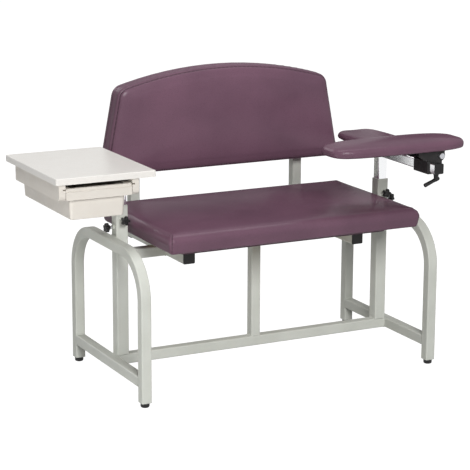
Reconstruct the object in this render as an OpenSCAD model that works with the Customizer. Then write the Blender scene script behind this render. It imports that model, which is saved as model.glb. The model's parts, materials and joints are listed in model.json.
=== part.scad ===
// Phlebotomy chair: a square-tube frame with a wide padded seat and back.
// A tray with a pull-out drawer slides up and down on the left post.
// A padded arm slides up and down on the right post and carries, on a
// sliding clamp, a front pad that flips up out of the way.
// +Z is up, the sitter faces -Y, and left and right are as seen from the front.
// The origin is on the floor, at the middle of the chair's outline.

/* [Tube stock] */
// Width of the square tube of the frame and the sliding posts
tube_w = 31.75; // [28:0.25:36]
// Wall of that tube
tube_wall = 1.65; // [1.2:0.05:2.5]
// Outside corner radius of every square tube
tube_corner_r = 4; // [2.6:0.1:5]
// Wall of the sleeve that a post slides in
sleeve_wall = 3.05; // [2:0.05:4]
// Gap around a post inside its sleeve
sleeve_gap = 0.125; // [0.1:0.005:0.4]

/* [Side frames] */
// Overall width across both side frames
frame_w = 1010; // [960:1:1100]
// Overall depth of a side frame
frame_d = 540; // [500:1:620]
// Height of a side frame above the floor
frame_h = 458.8; // [440:0.1:470]
// Centre-line radius of the bends
bend_r = 127; // [90:1:140]
// Height of the centre of the lower rails
rail_z = 74.1; // [50:0.1:140]
// Height of the sleeve tops
sleeve_top_z = 553; // [545:1:570]

/* [Feet and plugs] */
// Height of a foot below its leg
foot_h = 14.8; // [10:0.1:24]
// Diameter of a foot
foot_d = 27; // [22:0.5:30]
// Radius of a foot's lower edge
foot_edge_r = 5; // [2:0.5:7]
// Thickness of the plate of a plastic end plug
plug_plate_t = 3; // [2:0.5:5]
// Depth of a plug inside its tube
plug_depth = 16; // [8:1:24]

/* [Seat] */
// Height of the seat's rim above the floor
seat_top_z = 512; // [500:1:530]
// Width of the seat cushion
seat_w = 852; // [760:1:856]
// Depth of the seat cushion
seat_d = 516; // [460:1:530]
// Distance from the sleeves' middle to the front of the seat
seat_front = 290; // [260:1:310]
// Thickness of the seat cushion at its rim
seat_t = 60; // [50:1:70]
// Corner radius of the seat cushion
seat_corner_r = 14; // [10:1:40]
// Radius of the seat's upper edge
seat_edge_r = 21; // [12:1:22]
// Rise of the seat's middle above its rim
seat_crown = 8; // [2:1:16]
// Thickness of the board under the seat cushion
seat_board_t = 18; // [12:1:22]
// Distance of the board's edge inside the cushion's
seat_board_inset = 78; // [70:1:110]
// Width of the rails under the seat
seat_rail_w = 38.1; // [30:0.1:45]
// Height of the rails under the seat
seat_rail_h = 50.8; // [40:0.1:60]
// Wall of the rails under the seat
seat_rail_wall = 2.1; // [1.5:0.1:3]
// Distance between the middles of the two seat rails
seat_rail_span = 581; // [500:1:620]
// Distance from the sleeves' middle to the front of a seat rail's plug
seat_rail_front = 140; // [110:1:200]

/* [Back] */
// Distance from the sleeves' middle to the rim of the back cushion's front
back_y = 193; // [185:1:215]
// Thickness of the back cushion at its rim
back_t = 48; // [40:1:60]
// Thickness of the covered board behind the back cushion
back_board_t = 12; // [9:1:18]
// Height of the back's lower edge above the floor
back_bottom_z = 594; // [580:1:610]
// Height of the middle of the back's upper edge
back_top_z = 920; // [880:1:960]
// Width of the back at its lower edge, before its corners are rounded
back_bottom_w = 836; // [760:1:840]
// Width of the back at its shoulders, before its corners are rounded
back_top_w = 712; // [640:1:750]
// Radius of the arched upper edge
back_arch_r = 1253; // [900:1:1800]
// Radius of the back's upper corners
back_shoulder_r = 40; // [32:1:60]
// Radius of the back's lower corners
back_corner_r = 34; // [28:1:50]
// Radius of the back's front edge
back_edge_r = 20; // [12:1:24]
// Rise of the back's middle in front of its rim
back_crown = 9; // [2:1:14]
// Height of the tops of the back posts above the floor
back_post_top_z = 830; // [780:1:860]

/* [Tray] */
// Width of the tray top
tray_w = 309; // [290:0.1:340]
// Depth of the tray top
tray_d = 412; // [380:1:460]
// Thickness of the tray top
tray_t = 19.05; // [15:0.05:22]
// Height of the tray's upper face above the floor
tray_top_z = 691; // [680:1:710]
// Distance from the post's middle to the tray's inner edge
tray_inner = 29.5; // [24:0.1:32]
// Distance from the post's middle to the tray's front edge
tray_front = 201; // [190:1:230]
// Chamfer of the tray's upper edges
tray_chamfer = 2; // [1:0.5:4]
// Length of the steel plate between the post and the tray
plate_l = 180; // [120:1:220]
// Thickness of that plate
plate_t = 4.8; // [3:0.1:6]

/* [Drawer] */
// Height of the drawer runners
runner_h = 48.5; // [42:1:55]
// Width of a drawer runner
runner_w = 20.5; // [16:0.5:22]
// Distance between the runners' inner faces
runner_span = 206; // [190:1:215]
// Length of a drawer runner
runner_l = 350; // [320:1:380]
// Radius of a runner's lower front corner
runner_nose_r = 15; // [6:1:20]
// Depth of the groove in a runner
groove_depth = 8; // [5:0.5:11]
// Height of the drawer's sliding rim
rim_t = 4; // [3:0.5:6]
// Height of the gap between the tray and the drawer
drawer_gap = 14; // [8:0.5:18]
// Width of the drawer's front band
band_w = 203; // [180:1:204]
// Height of the drawer's front band
band_h = 33.5; // [26:0.5:38]
// Thickness of the drawer's front band
band_t = 12; // [8:0.5:14]
// Width of the bin at its top
bin_w = 175; // [160:1:184]
// Length of the bin at its top
bin_l = 384; // [330:1:388]
// Depth of the bin from its rim
bin_h = 95; // [60:1:96]
// Draw-in of each long side of the bin at its bottom
bin_side_draft = 4.5; // [2:0.5:8]
// Draw-in of each end of the bin at its bottom
bin_end_draft = 5; // [2:0.5:16]
// Wall of the bin
bin_wall = 3; // [2:0.25:4]
// Radius of the bin's upright corners
bin_corner_r = 10; // [8:1:24]

/* [Arm] */
// Height of the arm bar's middle above the floor
arm_z = 643; // [636:1:660]
// Distance from the post's middle to the front of the arm bar's plug
arm_front = 340; // [330:1:380]
// Distance from the post's middle to the rear of the arm bar's plug
arm_rear = 110; // [80:1:150]
// Width of the elbow pad
elbow_w = 154; // [130:1:160]
// Length of the elbow pad
elbow_l = 336; // [300:1:340]
// Distance from the post's middle to the elbow pad's rear end
elbow_rear = 186; // [170:1:188]
// Height of the elbow pad above the arm bar
elbow_t = 27.5; // [24:0.5:28]
// Radius of the elbow pad's upper edge
elbow_edge_r = 15; // [10:0.5:16]
// How square the elbow pad's outline is
elbow_power = 4.5; // [3:0.1:6]

/* [Flip pad] */
// Length of the flip pad across the chair
flip_l = 460; // [420:1:480]
// Width of the flip pad
flip_w = 155; // [140:1:160]
// Thickness of the flip pad
flip_t = 36; // [30:0.5:42]
// Distance from the arm bar's middle to the middle of the flip pad
flip_offset = 120.2; // [100:0.1:130]
// Radius of the flip pad's upper edge
flip_edge_r = 21; // [14:0.5:23]
// How square the flip pad's outline is
flip_power = 3.8; // [3:0.1:6]
// Distance from the post's middle forward to the middle of the flip pad
flip_y = 267; // [255:1:280]
// Thickness of the boards in the two arm pads
pad_board_t = 9; // [6:0.5:12]
// Width of the cover's turn-in around those boards
pad_wrap = 10; // [6:0.5:14]
// Rise of the middle of the two arm pads above their rims
pad_crown = 2.5; // [1:0.5:4]

/* [Clamp and hinge] */
// Length of the clamp block along the arm bar
block_l = 78; // [60:1:90]
// Wall of the clamp block around the arm bar
block_wall = 4.7; // [4:0.1:7]
// Thickness of the clamp block on its screw side
block_ear = 15; // [13:0.5:18]
// Height of the slit that lets the clamp block close on the bar
slit_h = 3; // [2:0.5:5]
// Distance from the arm bar's middle out to the hinge pin
hinge_x = 25.8; // [25:0.1:30]
// Height of the hinge pin above the arm bar
hinge_z = 18.1; // [17.5:0.1:20]
// Radius of the hinge pin
pin_r = 5; // [4:0.5:6]
// Distance from the hinge pin up to the underside of the hinge bracket
bracket_rise = 16.5; // [15.5:0.1:18]
// Thickness of the hinge bracket's sheet
bracket_t = 3; // [2:0.1:3.5]
// Distance the hinge bracket reaches inward from the pin
bracket_reach = 80; // [70:1:90]
// Radius of the hinge bracket's ears around the pin
ear_r = 12.5; // [10:0.5:13]
// Radius of the clamp screw
clamp_screw_r = 4; // [3:0.25:4.5]
// Distance from the clamp block's middle forward to the clamp screw
clamp_screw_y = 20; // [10:1:28]
// Radius of the clamp lever's hub
lever_hub_r = 9; // [7:0.5:11]
// Height of the clamp lever's hub
lever_hub_h = 28; // [20:1:34]
// Reach of the clamp lever from its screw
lever_l = 45; // [28:1:50]
// Radius of the clamp lever's grip end
lever_tip_r = 6.5; // [5:0.5:8]
// Drop of the clamp lever's end below its hub
lever_drop = 16; // [2:1:20]

/* [Knobs] */
// Radius of a knob's stud
stud_r = 4; // [3:0.25:5]
// Radius of a star knob over its lobes
knob_r = 14.5; // [13:0.5:15]
// Number of lobes on a star knob
knob_lobes = 5; // [3:1:7]
// Thickness of a star knob's head
knob_t = 13; // [10:0.5:16]
// Distance from the sleeve's face to the middle of a knob's head
knob_out = 24.5; // [20:0.5:28]
// Height of the front knobs above the floor
front_knob_z = 511.5; // [500:0.5:530]
// Height of the side knobs above the floor
side_knob_z = 486; // [482:0.5:492]
// Width across the flats of the nut welded to a sleeve
nut_af = 13; // [12:0.5:15]
// Thickness of the nut welded to a sleeve
nut_t = 6.5; // [5:0.5:8]

/* [Fits] */
// Gap between a soft part and what it lies against
soft_gap = 0.3; // [0.2:0.05:0.5]
// Gap of a plug or a board in its seat
seat_gap = 0.1; // [0.05:0.05:0.2]
// Gap of a shaft in its bore, on the radius
run_gap = 0.05; // [0.02:0.01:0.09]
// Gap between parts that slide or turn past each other
slide_gap = 0.3; // [0.2:0.05:0.5]
// Radius of a wood screw's or machine screw's shank
screw_r = 2.5; // [2:0.25:3]

/* [Hidden] */

frame_paint = [0.75, 0.76, 0.73];
bright_steel = [0.82, 0.82, 0.84];
black_plastic = [0.12, 0.12, 0.13];
plum_vinyl = [0.43, 0.30, 0.38];
board_ply = [0.66, 0.53, 0.36];
tray_laminate = [0.87, 0.86, 0.83];
drawer_plastic = [0.83, 0.81, 0.78];

// How far a cut runs past the face that it opens
overrun = 1;
// Smoothness of large and small round parts
$fn = 48;
small_fn = 32;
// Steps in a corner of a soft outline, and points around a pad
corner_steps = 7;
pad_points = 44;

// Square tubes
sleeve_w = tube_w + 2 * (sleeve_gap + sleeve_wall);
side_x = (frame_w - tube_w) / 2;
leg_y = (frame_d - tube_w) / 2;
frame_inner_x = side_x - tube_w / 2;
post_x = frame_inner_x - sleeve_w / 2;
rail_top_z = rail_z + tube_w / 2;
sleeve_inner_x = post_x - sleeve_w / 2;
bend_z = frame_h - tube_w / 2 - bend_r;
post_insert = 250;
post_bottom_z = sleeve_top_z - post_insert;

// Seat
seat_cushion_z = seat_top_z - seat_t;
seat_board_z = seat_cushion_z - seat_board_t;
seat_rail_z = seat_board_z - seat_rail_h;
seat_mid_y = seat_d / 2 - seat_front;
seat_rail_x = seat_rail_span / 2;
seat_rail_side_x = seat_rail_x - seat_rail_w / 2;
seat_rail_y = plug_plate_t - seat_rail_front;
seat_board_corner_r = 12;
seat_screw_in = 45;
soft_low_r = 9;
soft_tuck = 5;
soft_waist = 1.5;
seam_depth = 1.6;
seam_angle = 62;
seam_half_angle = 5;
roll_angles = [0, 20, 42, seam_angle - seam_half_angle, seam_angle, seam_angle + seam_half_angle,
    80, 90];
side_shares = [0.35, 0.7];
screw_bite_share = 0.7;
head_share = 1.9;
head_dome_share = 1.08;
head_t = 3.2;

// Back
back_post_y = back_y + back_t + back_board_t + tube_w / 2;
back_post_x = seat_rail_x;
back_board_inset = 1.5;
back_tuck = 1.5;
back_low_r = 3;
back_screw_in = 50;
back_board_y = back_y + back_t;
arch_z = back_top_z - back_arch_r;
arch_steps = 14;
arch_step_angle = 1;
flare = atan((back_bottom_w - back_top_w) / 2 / (back_top_z - back_bottom_z));

// Tray and drawer, placed from the left post
tray_z = tray_top_z - tray_t;
tray_mid_x = tray_inner - tray_w / 2;
tray_mid_y = tray_d / 2 - tray_front;
tray_corner_r = 5;
tray_overhang = 7;
runner_front = tray_front - tray_overhang;
runner_z = tray_z - runner_h;
runner_post_gap = 6;
drawer_x = -tube_w / 2 - runner_post_gap - runner_w - runner_span / 2;
drawer_top_z = tray_z - drawer_gap;
rim_z = drawer_top_z - rim_t;
runner_stop_t = 6;
rear_corner_r = 5;
runner_screw_share = 0.66;
runner_screw_shares = [0.2, 0.8];
plate_w = tube_w + 2 * (runner_post_gap - slide_gap);
plate_hole_share = 0.8;
bin_edge_r = 5;
lip_w = 4;
band_corner_share = 0.15;

// Arm, placed from the right post
arm_bar_z = arm_z - tube_w / 2;
arm_bar_top_z = arm_z + tube_w / 2;
arm_bar_front_y = plug_plate_t - arm_front;
arm_bar_rear_y = arm_rear - plug_plate_t;
elbow_mid_y = elbow_rear - elbow_l / 2;
pin_x = post_x + hinge_x;
pin_z = arm_bar_top_z + hinge_z;
bracket_z = pin_z + bracket_rise;
flip_z = bracket_z + bracket_t;
flip_x = post_x - flip_offset;
tongue_r = bracket_rise - slide_gap;
tongue_l = 40;
block_hole_w = tube_w + 2 * slide_gap;
block_x0 = post_x - block_hole_w / 2 - block_wall;
block_x1 = post_x + block_hole_w / 2 + block_ear;
block_z0 = arm_z - block_hole_w / 2 - block_wall;
block_z1 = arm_z + block_hole_w / 2 + block_wall;
screw_x = post_x + block_hole_w / 2 + block_ear / 2;
screw_y = -flip_y - clamp_screw_y;
bolt_af = 17;
bolt_head_t = 6.4;
bolt_nut_t = 8;
nut_share = 0.7;
nut_collar_inset = 1;
bracket_w = block_l + 2 * (slide_gap + bracket_t);
bracket_tall = 80;
fold_r = 2 * slide_gap;
ear_low_share = 0.2;
ear_taper_share = 0.72;
flip_screw_shares = [0.2, 0.86];
flip_screw_side_share = 0.3;
block_corner_r = 3;
clamp_screw_top_z = block_z1 - block_wall / 2;
hub_bite_share = 0.6;
elbow_screw_in = 70;
pad_low_r = 5;
pad_tuck = 2;
pad_waist = 1;

// Knobs
knob_boss_t = 4;
knob_grip = 7;
knob_dome_r = 22;
lobe_share = 0.36;
core_share = 0.66;

// Middle of the chair's outline, which the origin stands under
outline_x0 = tray_inner - tray_w - post_x;
outline_x1 = flip_x + flip_l / 2;
outline_y0 = -max(arm_front, flip_y + flip_w / 2);
outline_y1 = back_post_y + tube_w / 2 + head_t;
origin_x = (outline_x0 + outline_x1) / 2;
origin_y = (outline_y0 + outline_y1) / 2;

// Moves what is drawn from the middle between the sleeves to the origin
module placed() {
    translate([-origin_x, -origin_y, 0]) children();
}

// Mirrors a piece of the right side to the left side
module on_left() {
    mirror([1, 0, 0]) children();
}

// Outline of a square or rectangular tube with round corners
module tube_outline(w, h, r) {
    square([w - 2 * r, h], center = true);
    square([w, h - 2 * r], center = true);
    for (sx = [-1, 1], sy = [-1, 1]) {
        translate([sx * (w / 2 - r), sy * (h / 2 - r)]) circle(r = r, $fn = small_fn);
    }
}

// Cross-section of a hollow tube
module tube_section(w, h, wall) {
    difference() {
        tube_outline(w, h, tube_corner_r);
        tube_outline(w - 2 * wall, h - 2 * wall, max(tube_corner_r - wall, wall / 2));
    }
}

// Frame tube along Z, from z = 0 up
module frame_tube(l) {
    linear_extrude(height = l) tube_section(tube_w, tube_w, tube_wall);
}

// Frame tube along X, centred on its length
module frame_tube_x(l) {
    translate([-l / 2, 0, 0]) rotate([0, 90, 0]) frame_tube(l);
}

// Frame tube along Y, from y = 0 back
module frame_tube_y(l) {
    rotate([-90, 0, 0]) frame_tube(l);
}

// Plug block and plate that close a tube's end; the plate's outer face is at z = 0
module end_plug(w, h, wall) {
    inner_w = w - 2 * (wall + seat_gap);
    inner_h = h - 2 * (wall + seat_gap);
    translate([0, 0, -plug_plate_t]) {
        linear_extrude(height = plug_plate_t) tube_outline(w, h, tube_corner_r);
        translate([0, 0, -plug_depth]) linear_extrude(height = plug_depth + plug_plate_t / 2) {
            tube_outline(inner_w, inner_h, max(tube_corner_r - wall, wall / 2));
        }
    }
}

// Round-headed screw along +Z: the head's flat face lies at z = 0, the head below it
module pan_screw(l) {
    cylinder(r = screw_r, h = l, $fn = small_fn);
    rotate_extrude($fn = small_fn) intersection() {
        translate([0, -head_t]) square([screw_r * head_share, head_t]);
        scale([1, head_t / (screw_r * head_share)]) circle(r = screw_r * head_share * head_dome_share);
    }
}

// Hole for the shank of a screw, from z = 0 up
module screw_hole(l) {
    translate([0, 0, -overrun]) cylinder(r = screw_r + seat_gap, h = l + overrun, $fn = small_fn);
}

// Points of an arc about c, both ends included
function arc(c, r, a0, a1, steps) = [for (i = [0:steps])
    let (a = a0 + (a1 - a0) * i / steps) [c[0] + r * cos(a), c[1] + r * sin(a)]];

// Rectangle with round corners, drawn in by d
function round_rect(w, l, r, d) =
    let (rd = max(r - d, r / 20), x = w / 2 - d - rd, y = l / 2 - d - rd)
    concat(arc([x, y], rd, 0, 90, corner_steps), arc([-x, y], rd, 90, 180, corner_steps),
        arc([-x, -y], rd, 180, 270, corner_steps), arc([x, -y], rd, 270, 360, corner_steps));

// Oval that is squarer the larger its power, drawn in by d
function squared_oval(l, w, power, d) = [for (i = [0:pad_points - 1])
    let (a = 360 * i / pad_points)
    [(l / 2 - d) * sign(cos(a)) * pow(abs(cos(a)), 2 / power),
     (w / 2 - d) * sign(sin(a)) * pow(abs(sin(a)), 2 / power)]];

// Outline of the back with its arched top and leaning sides, drawn in by d
function back_outline(d) =
    let (foot = [back_bottom_w / 2, back_bottom_z], up = [-sin(flare), cos(flare)],
        inward = [-cos(flare), -sin(flare)],
        q = foot + back_shoulder_r * inward - [0, arch_z],
        s = -q * up + sqrt(pow(q * up, 2) - q * q + pow(back_arch_r - back_shoulder_r, 2)),
        shoulder = foot + back_shoulder_r * inward + s * up,
        arch_a = atan2(shoulder[1] - arch_z, shoulder[0]),
        low_s = back_corner_r * (1 + sin(flare)) / cos(flare),
        low = foot + back_corner_r * inward + low_s * up,
        rs = back_shoulder_r - d, rc = back_corner_r - d)
    concat(arc(low, rc, -90, flare, corner_steps), arc(shoulder, rs, flare, arch_a, corner_steps),
        arc([0, arch_z], back_arch_r - d, arch_a + arch_step_angle, 180 - arch_a - arch_step_angle,
            arch_steps),
        arc([-shoulder[0], shoulder[1]], rs, 180 - arch_a, 180 - flare, corner_steps),
        arc([-low[0], low[1]], rc, 180 - flare, 270, corner_steps));

// Outline at height z
function lifted(outline, z) = [for (p = outline) [p[0], p[1], z]];

// Outline shrunk towards c by the share s, at height z
function shrunk(outline, c, s, z) =
    [for (p = outline) [c[0] + s * (p[0] - c[0]), c[1] + s * (p[1] - c[1]), z]];

// Middle of a ring of points
function ring_middle(ring) = [for (k = [0:2]) sum_of(ring, k) / len(ring)];
function sum_of(ring, k, i = 0) = i == len(ring) ? 0 : ring[i][k] + sum_of(ring, k, i + 1);

// Drawn-in distance and height of each ring up a cushion's side
function cushion_side(t, low_r, top_r, tuck, waist, seam) = concat(
    [for (a = [0, 45, 90]) [tuck + low_r * (1 - sin(a)), low_r * (1 - cos(a))]],
    [for (s = side_shares) [tuck * (1 - s) + waist * 4 * s * (1 - s),
        low_r + s * (t - low_r - top_r)]],
    [for (a = roll_angles) let (r = top_r - (a == seam_angle ? seam : 0))
        [top_r - r * cos(a), t - top_r + r * sin(a)]]);

// How far towards its middle each ring of a crown lies
crown_shares = [0.95, 0.86, 0.7, 0.48, 0.24];

// Closed skin over a stack of rings, each with the same number of points
module loft(rings) {
    n = len(rings[0]);
    m = len(rings);
    low = m * n;
    points = concat([for (ring = rings) each ring], [ring_middle(rings[0]), ring_middle(rings[m - 1])]);
    sides = [for (j = [0:m - 2], i = [0:n - 1]) let (k = (i + 1) % n, a = j * n, b = a + n)
        each [[a + i, b + k, a + k], [a + i, b + i, b + k]]];
    ends = [for (i = [0:n - 1]) let (k = (i + 1) % n)
        each [[low, i, k], [low + 1, low - n + k, low - n + i]]];
    polyhedron(points = points, faces = concat(sides, ends), convexity = 4);
}

// Side frames

// Bent tube of the right side frame: two legs, two bends and the top
module leg_hoop() {
    half_top = leg_y - bend_r;
    translate([side_x, 0, 0]) {
        for (side = [-1, 1]) {
            translate([0, side * leg_y, foot_h]) frame_tube(bend_z - foot_h);
        }
        translate([0, half_top, bend_z]) rotate([90, 0, 90]) {
            rotate_extrude(angle = 90) translate([bend_r, 0]) {
                tube_section(tube_w, tube_w, tube_wall);
            }
        }
        translate([0, -half_top, bend_z]) rotate([90, 0, 90]) rotate([0, 0, 90]) {
            rotate_extrude(angle = 90) translate([bend_r, 0]) {
                tube_section(tube_w, tube_w, tube_wall);
            }
        }
        translate([0, -half_top, bend_z + bend_r]) frame_tube_y(2 * half_top);
    }
}

// Lower rail between the legs of the right side frame
module side_rail() {
    reach = leg_y - tube_w / 2;
    translate([side_x, -reach, rail_z]) frame_tube_y(2 * reach);
}

// Right sleeve with the two holes for its knob studs
module sleeve() {
    difference() {
        translate([post_x, 0, rail_top_z]) linear_extrude(height = sleeve_top_z - rail_top_z) {
            tube_section(sleeve_w, sleeve_w, sleeve_wall);
        }
        at_front_knob() stud_hole();
        at_side_knob() stud_hole();
    }
}

module left_leg_hoop() placed() color(frame_paint) on_left() leg_hoop();
module right_leg_hoop() placed() color(frame_paint) leg_hoop();
module left_side_rail() placed() color(frame_paint) on_left() side_rail();
module right_side_rail() placed() color(frame_paint) side_rail();
module left_sleeve() placed() color(frame_paint) on_left() sleeve();
module right_sleeve() placed() color(frame_paint) sleeve();

// Lower rail from one side frame to the other
module long_rail() placed() color(frame_paint) {
    translate([0, 0, rail_z]) frame_tube_x(2 * frame_inner_x);
}

// Post under the middle of the seat
module center_post() placed() color(frame_paint) {
    translate([0, 0, rail_top_z]) frame_tube(seat_rail_z - rail_top_z);
}

// Tube under the seat from the right sleeve to the right seat rail
module outer_cross_tube() {
    reach = sleeve_inner_x - seat_rail_x - seat_rail_w / 2;
    translate([sleeve_inner_x - reach / 2, 0, seat_rail_z + tube_w / 2]) frame_tube_x(reach);
}

module left_cross_tube() placed() color(frame_paint) on_left() outer_cross_tube();
module right_cross_tube() placed() color(frame_paint) outer_cross_tube();

// Tube under the seat between the two seat rails
module center_cross_tube() placed() color(frame_paint) {
    translate([0, 0, seat_rail_z + tube_w / 2]) frame_tube_x(2 * seat_rail_side_x);
}

// Right rail under the seat, from its front plug to the back post
module seat_rail() {
    l = back_post_y - tube_w / 2 - seat_rail_y;
    difference() {
        translate([seat_rail_x, seat_rail_y, seat_rail_z + seat_rail_h / 2]) rotate([-90, 0, 0]) {
            linear_extrude(height = l) tube_section(seat_rail_w, seat_rail_h, seat_rail_wall);
        }
        at_seat_screws() screw_hole(seat_rail_h + overrun);
    }
}

module left_seat_rail() placed() color(frame_paint) on_left() seat_rail();
module right_seat_rail() placed() color(frame_paint) seat_rail();

// Right post behind the back
module back_post() {
    difference() {
        translate([back_post_x, back_post_y, seat_rail_z]) frame_tube(back_post_top_z - seat_rail_z);
        at_back_screws() screw_hole(tube_w + overrun);
    }
}

module left_back_post() placed() color(frame_paint) on_left() back_post();
module right_back_post() placed() color(frame_paint) back_post();

// Foot with its rounded lower edge and the block that sits in the leg
module foot() {
    rotate_extrude() {
        square([foot_d / 2 - foot_edge_r, foot_h]);
        translate([0, foot_edge_r]) square([foot_d / 2, foot_h - foot_edge_r]);
        translate([foot_d / 2 - foot_edge_r, foot_edge_r]) intersection() {
            circle(r = foot_edge_r, $fn = small_fn);
            square([2 * foot_edge_r, 2 * foot_edge_r], center = true);
        }
    }
    inner_w = tube_w - 2 * (tube_wall + seat_gap);
    translate([0, 0, foot_h]) linear_extrude(height = plug_depth) {
        tube_outline(inner_w, inner_w, max(tube_corner_r - tube_wall, tube_wall / 2));
    }
}

module floor_feet() placed() color(black_plastic) {
    for (sx = [-1, 1], sy = [-1, 1]) {
        translate([sx * side_x, sy * leg_y, 0]) foot();
    }
}

module seat_rail_plugs() placed() color(black_plastic) {
    for (side = [-1, 1]) {
        translate([side * seat_rail_x, -seat_rail_front, seat_rail_z + seat_rail_h / 2]) {
            rotate([90, 0, 0]) end_plug(seat_rail_w, seat_rail_h, seat_rail_wall);
        }
    }
}

module back_post_plugs() placed() color(black_plastic) {
    for (side = [-1, 1]) translate([side * back_post_x, back_post_y, 0]) {
        translate([0, 0, back_post_top_z + plug_plate_t]) end_plug(tube_w, tube_w, tube_wall);
        translate([0, 0, seat_rail_z - plug_plate_t]) rotate([180, 0, 0]) {
            end_plug(tube_w, tube_w, tube_wall);
        }
    }
}

// Knobs

// Places a knob, its axis along +Z from z = 0 at the right sleeve's front face
module at_front_knob() {
    translate([post_x, -sleeve_w / 2, front_knob_z]) rotate([90, 0, 0]) children();
}

// Places a knob at the right sleeve's outer face
module at_side_knob() {
    translate([post_x + sleeve_w / 2, 0, side_knob_z]) rotate([0, 90, 0]) children();
}

// Hole through a sleeve's wall for a stud
module stud_hole() {
    translate([0, 0, -sleeve_wall - overrun]) {
        cylinder(r = stud_r + run_gap, h = sleeve_wall + 2 * overrun);
    }
}

// Nut welded over a stud's hole
module weld_nut() {
    difference() {
        cylinder(r = nut_af / sqrt(3), h = nut_t, $fn = 6);
        translate([0, 0, -overrun]) cylinder(r = stud_r + run_gap, h = nut_t + 2 * overrun);
    }
}

// Star-shaped head with a domed face, a boss towards the sleeve and a blind hole
module star_knob() {
    lobe_r = knob_r * lobe_share;
    head_z = knob_out - knob_t / 2;
    difference() {
        union() {
            translate([0, 0, head_z]) intersection() {
                linear_extrude(height = knob_t) {
                    circle(r = knob_r * core_share, $fn = small_fn);
                    for (i = [0:knob_lobes - 1]) rotate(i * 360 / knob_lobes) {
                        translate([knob_r - lobe_r, 0]) circle(r = lobe_r, $fn = small_fn);
                    }
                }
                translate([0, 0, knob_t - knob_dome_r]) sphere(r = knob_dome_r);
            }
            translate([0, 0, head_z - knob_boss_t]) cylinder(r = knob_r / 2, h = knob_boss_t + overrun);
        }
        translate([0, 0, head_z - knob_boss_t - overrun]) {
            cylinder(r = stud_r + seat_gap, h = knob_boss_t + knob_grip + overrun);
        }
    }
}

// Stud from the post's face to the bottom of the hole in its knob
module knob_stud() {
    tip = slide_gap - (sleeve_w - tube_w) / 2;
    head_z = knob_out - knob_t / 2;
    translate([0, 0, tip]) cylinder(r = stud_r, h = head_z + knob_grip - seat_gap - tip);
}

module weld_nuts() placed() color(frame_paint) {
    for (turned = [0, 1]) mirror([turned, 0, 0]) {
        at_front_knob() weld_nut();
        at_side_knob() weld_nut();
    }
}

module left_front_knob() placed() color(black_plastic) on_left() at_front_knob() star_knob();
module left_side_knob() placed() color(black_plastic) on_left() at_side_knob() star_knob();
module right_front_knob() placed() color(black_plastic) at_front_knob() star_knob();
module right_side_knob() placed() color(black_plastic) at_side_knob() star_knob();
module left_front_stud() placed() color(bright_steel) on_left() at_front_knob() knob_stud();
module left_side_stud() placed() color(bright_steel) on_left() at_side_knob() knob_stud();
module right_front_stud() placed() color(bright_steel) at_front_knob() knob_stud();
module right_side_stud() placed() color(bright_steel) at_side_knob() knob_stud();

// Seat

// Places what it draws at each screw under the right seat rail
module at_seat_screws() {
    for (y = [seat_rail_y + seat_screw_in, seat_mid_y + seat_d / 2 - seat_board_inset - seat_screw_in]) {
        translate([seat_rail_x, y, seat_rail_z]) children();
    }
}

module seat_board() placed() color(board_ply) difference() {
    translate([0, seat_mid_y, seat_board_z]) linear_extrude(height = seat_board_t - soft_gap) {
        tube_outline(seat_w - 2 * seat_board_inset, seat_d - 2 * seat_board_inset, seat_board_corner_r);
    }
    for (turned = [0, 1]) mirror([turned, 0, 0]) {
        at_seat_screws() screw_hole(seat_rail_h + seat_board_t * screw_bite_share + seat_gap);
    }
}

module seat_cushion() placed() color(plum_vinyl) translate([0, seat_mid_y, seat_cushion_z]) {
    side = cushion_side(seat_t, soft_low_r, seat_edge_r, soft_tuck, soft_waist, 0);
    rim = round_rect(seat_w, seat_d, seat_corner_r, seat_edge_r);
    loft(concat([for (p = side) lifted(round_rect(seat_w, seat_d, seat_corner_r, p[0]), p[1])],
        [for (s = crown_shares) shrunk(rim, [0, 0], s, seat_t + seat_crown * (1 - s * s))]));
}

module seat_screws() placed() color(bright_steel) {
    for (turned = [0, 1]) mirror([turned, 0, 0]) {
        at_seat_screws() pan_screw(seat_rail_h + seat_board_t * screw_bite_share);
    }
}

// Back

// Places what it draws at each screw behind the right back post
module at_back_screws() {
    for (z = [back_bottom_z + back_screw_in, back_post_top_z - back_screw_in]) {
        translate([back_post_x, back_post_y + tube_w / 2, z]) rotate([90, 0, 0]) children();
    }
}

module back_board() placed() color(plum_vinyl) difference() {
    translate([0, back_board_y + back_board_t, 0]) rotate([90, 0, 0]) {
        linear_extrude(height = back_board_t - soft_gap) polygon(back_outline(back_board_inset));
    }
    for (turned = [0, 1]) mirror([turned, 0, 0]) {
        at_back_screws() screw_hole(tube_w + back_board_t * screw_bite_share + seat_gap);
    }
}

module back_cushion() placed() color(plum_vinyl) translate([0, back_board_y, 0]) rotate([90, 0, 0]) {
    side = cushion_side(back_t, back_low_r, back_edge_r, back_tuck, soft_waist, seam_depth);
    middle = [0, (back_bottom_z + back_top_z) / 2];
    rim = back_outline(back_edge_r);
    loft(concat([for (p = side) lifted(back_outline(p[0]), p[1])],
        [for (s = crown_shares) shrunk(rim, middle, s, back_t + back_crown * (1 - s * s))]));
}

module back_screws() placed() color(bright_steel) {
    for (turned = [0, 1]) mirror([turned, 0, 0]) {
        at_back_screws() pan_screw(tube_w + back_board_t * screw_bite_share);
    }
}

// Tray and drawer

// Moves what is drawn from the left post's middle to its place
module at_left_post() {
    translate([-post_x, 0, 0]) children();
}

module left_post() placed() color(bright_steel) at_left_post() {
    translate([0, 0, post_bottom_z]) frame_tube(tray_z - plate_t - post_bottom_z);
}

// Places what it draws at each screw through the steel plate
module at_plate_screws() {
    for (sx = [-1, 1], sy = [-1, 1]) {
        translate([sx * plate_w / 4, sy * plate_l / 2 * plate_hole_share, tray_z - plate_t]) children();
    }
}

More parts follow.
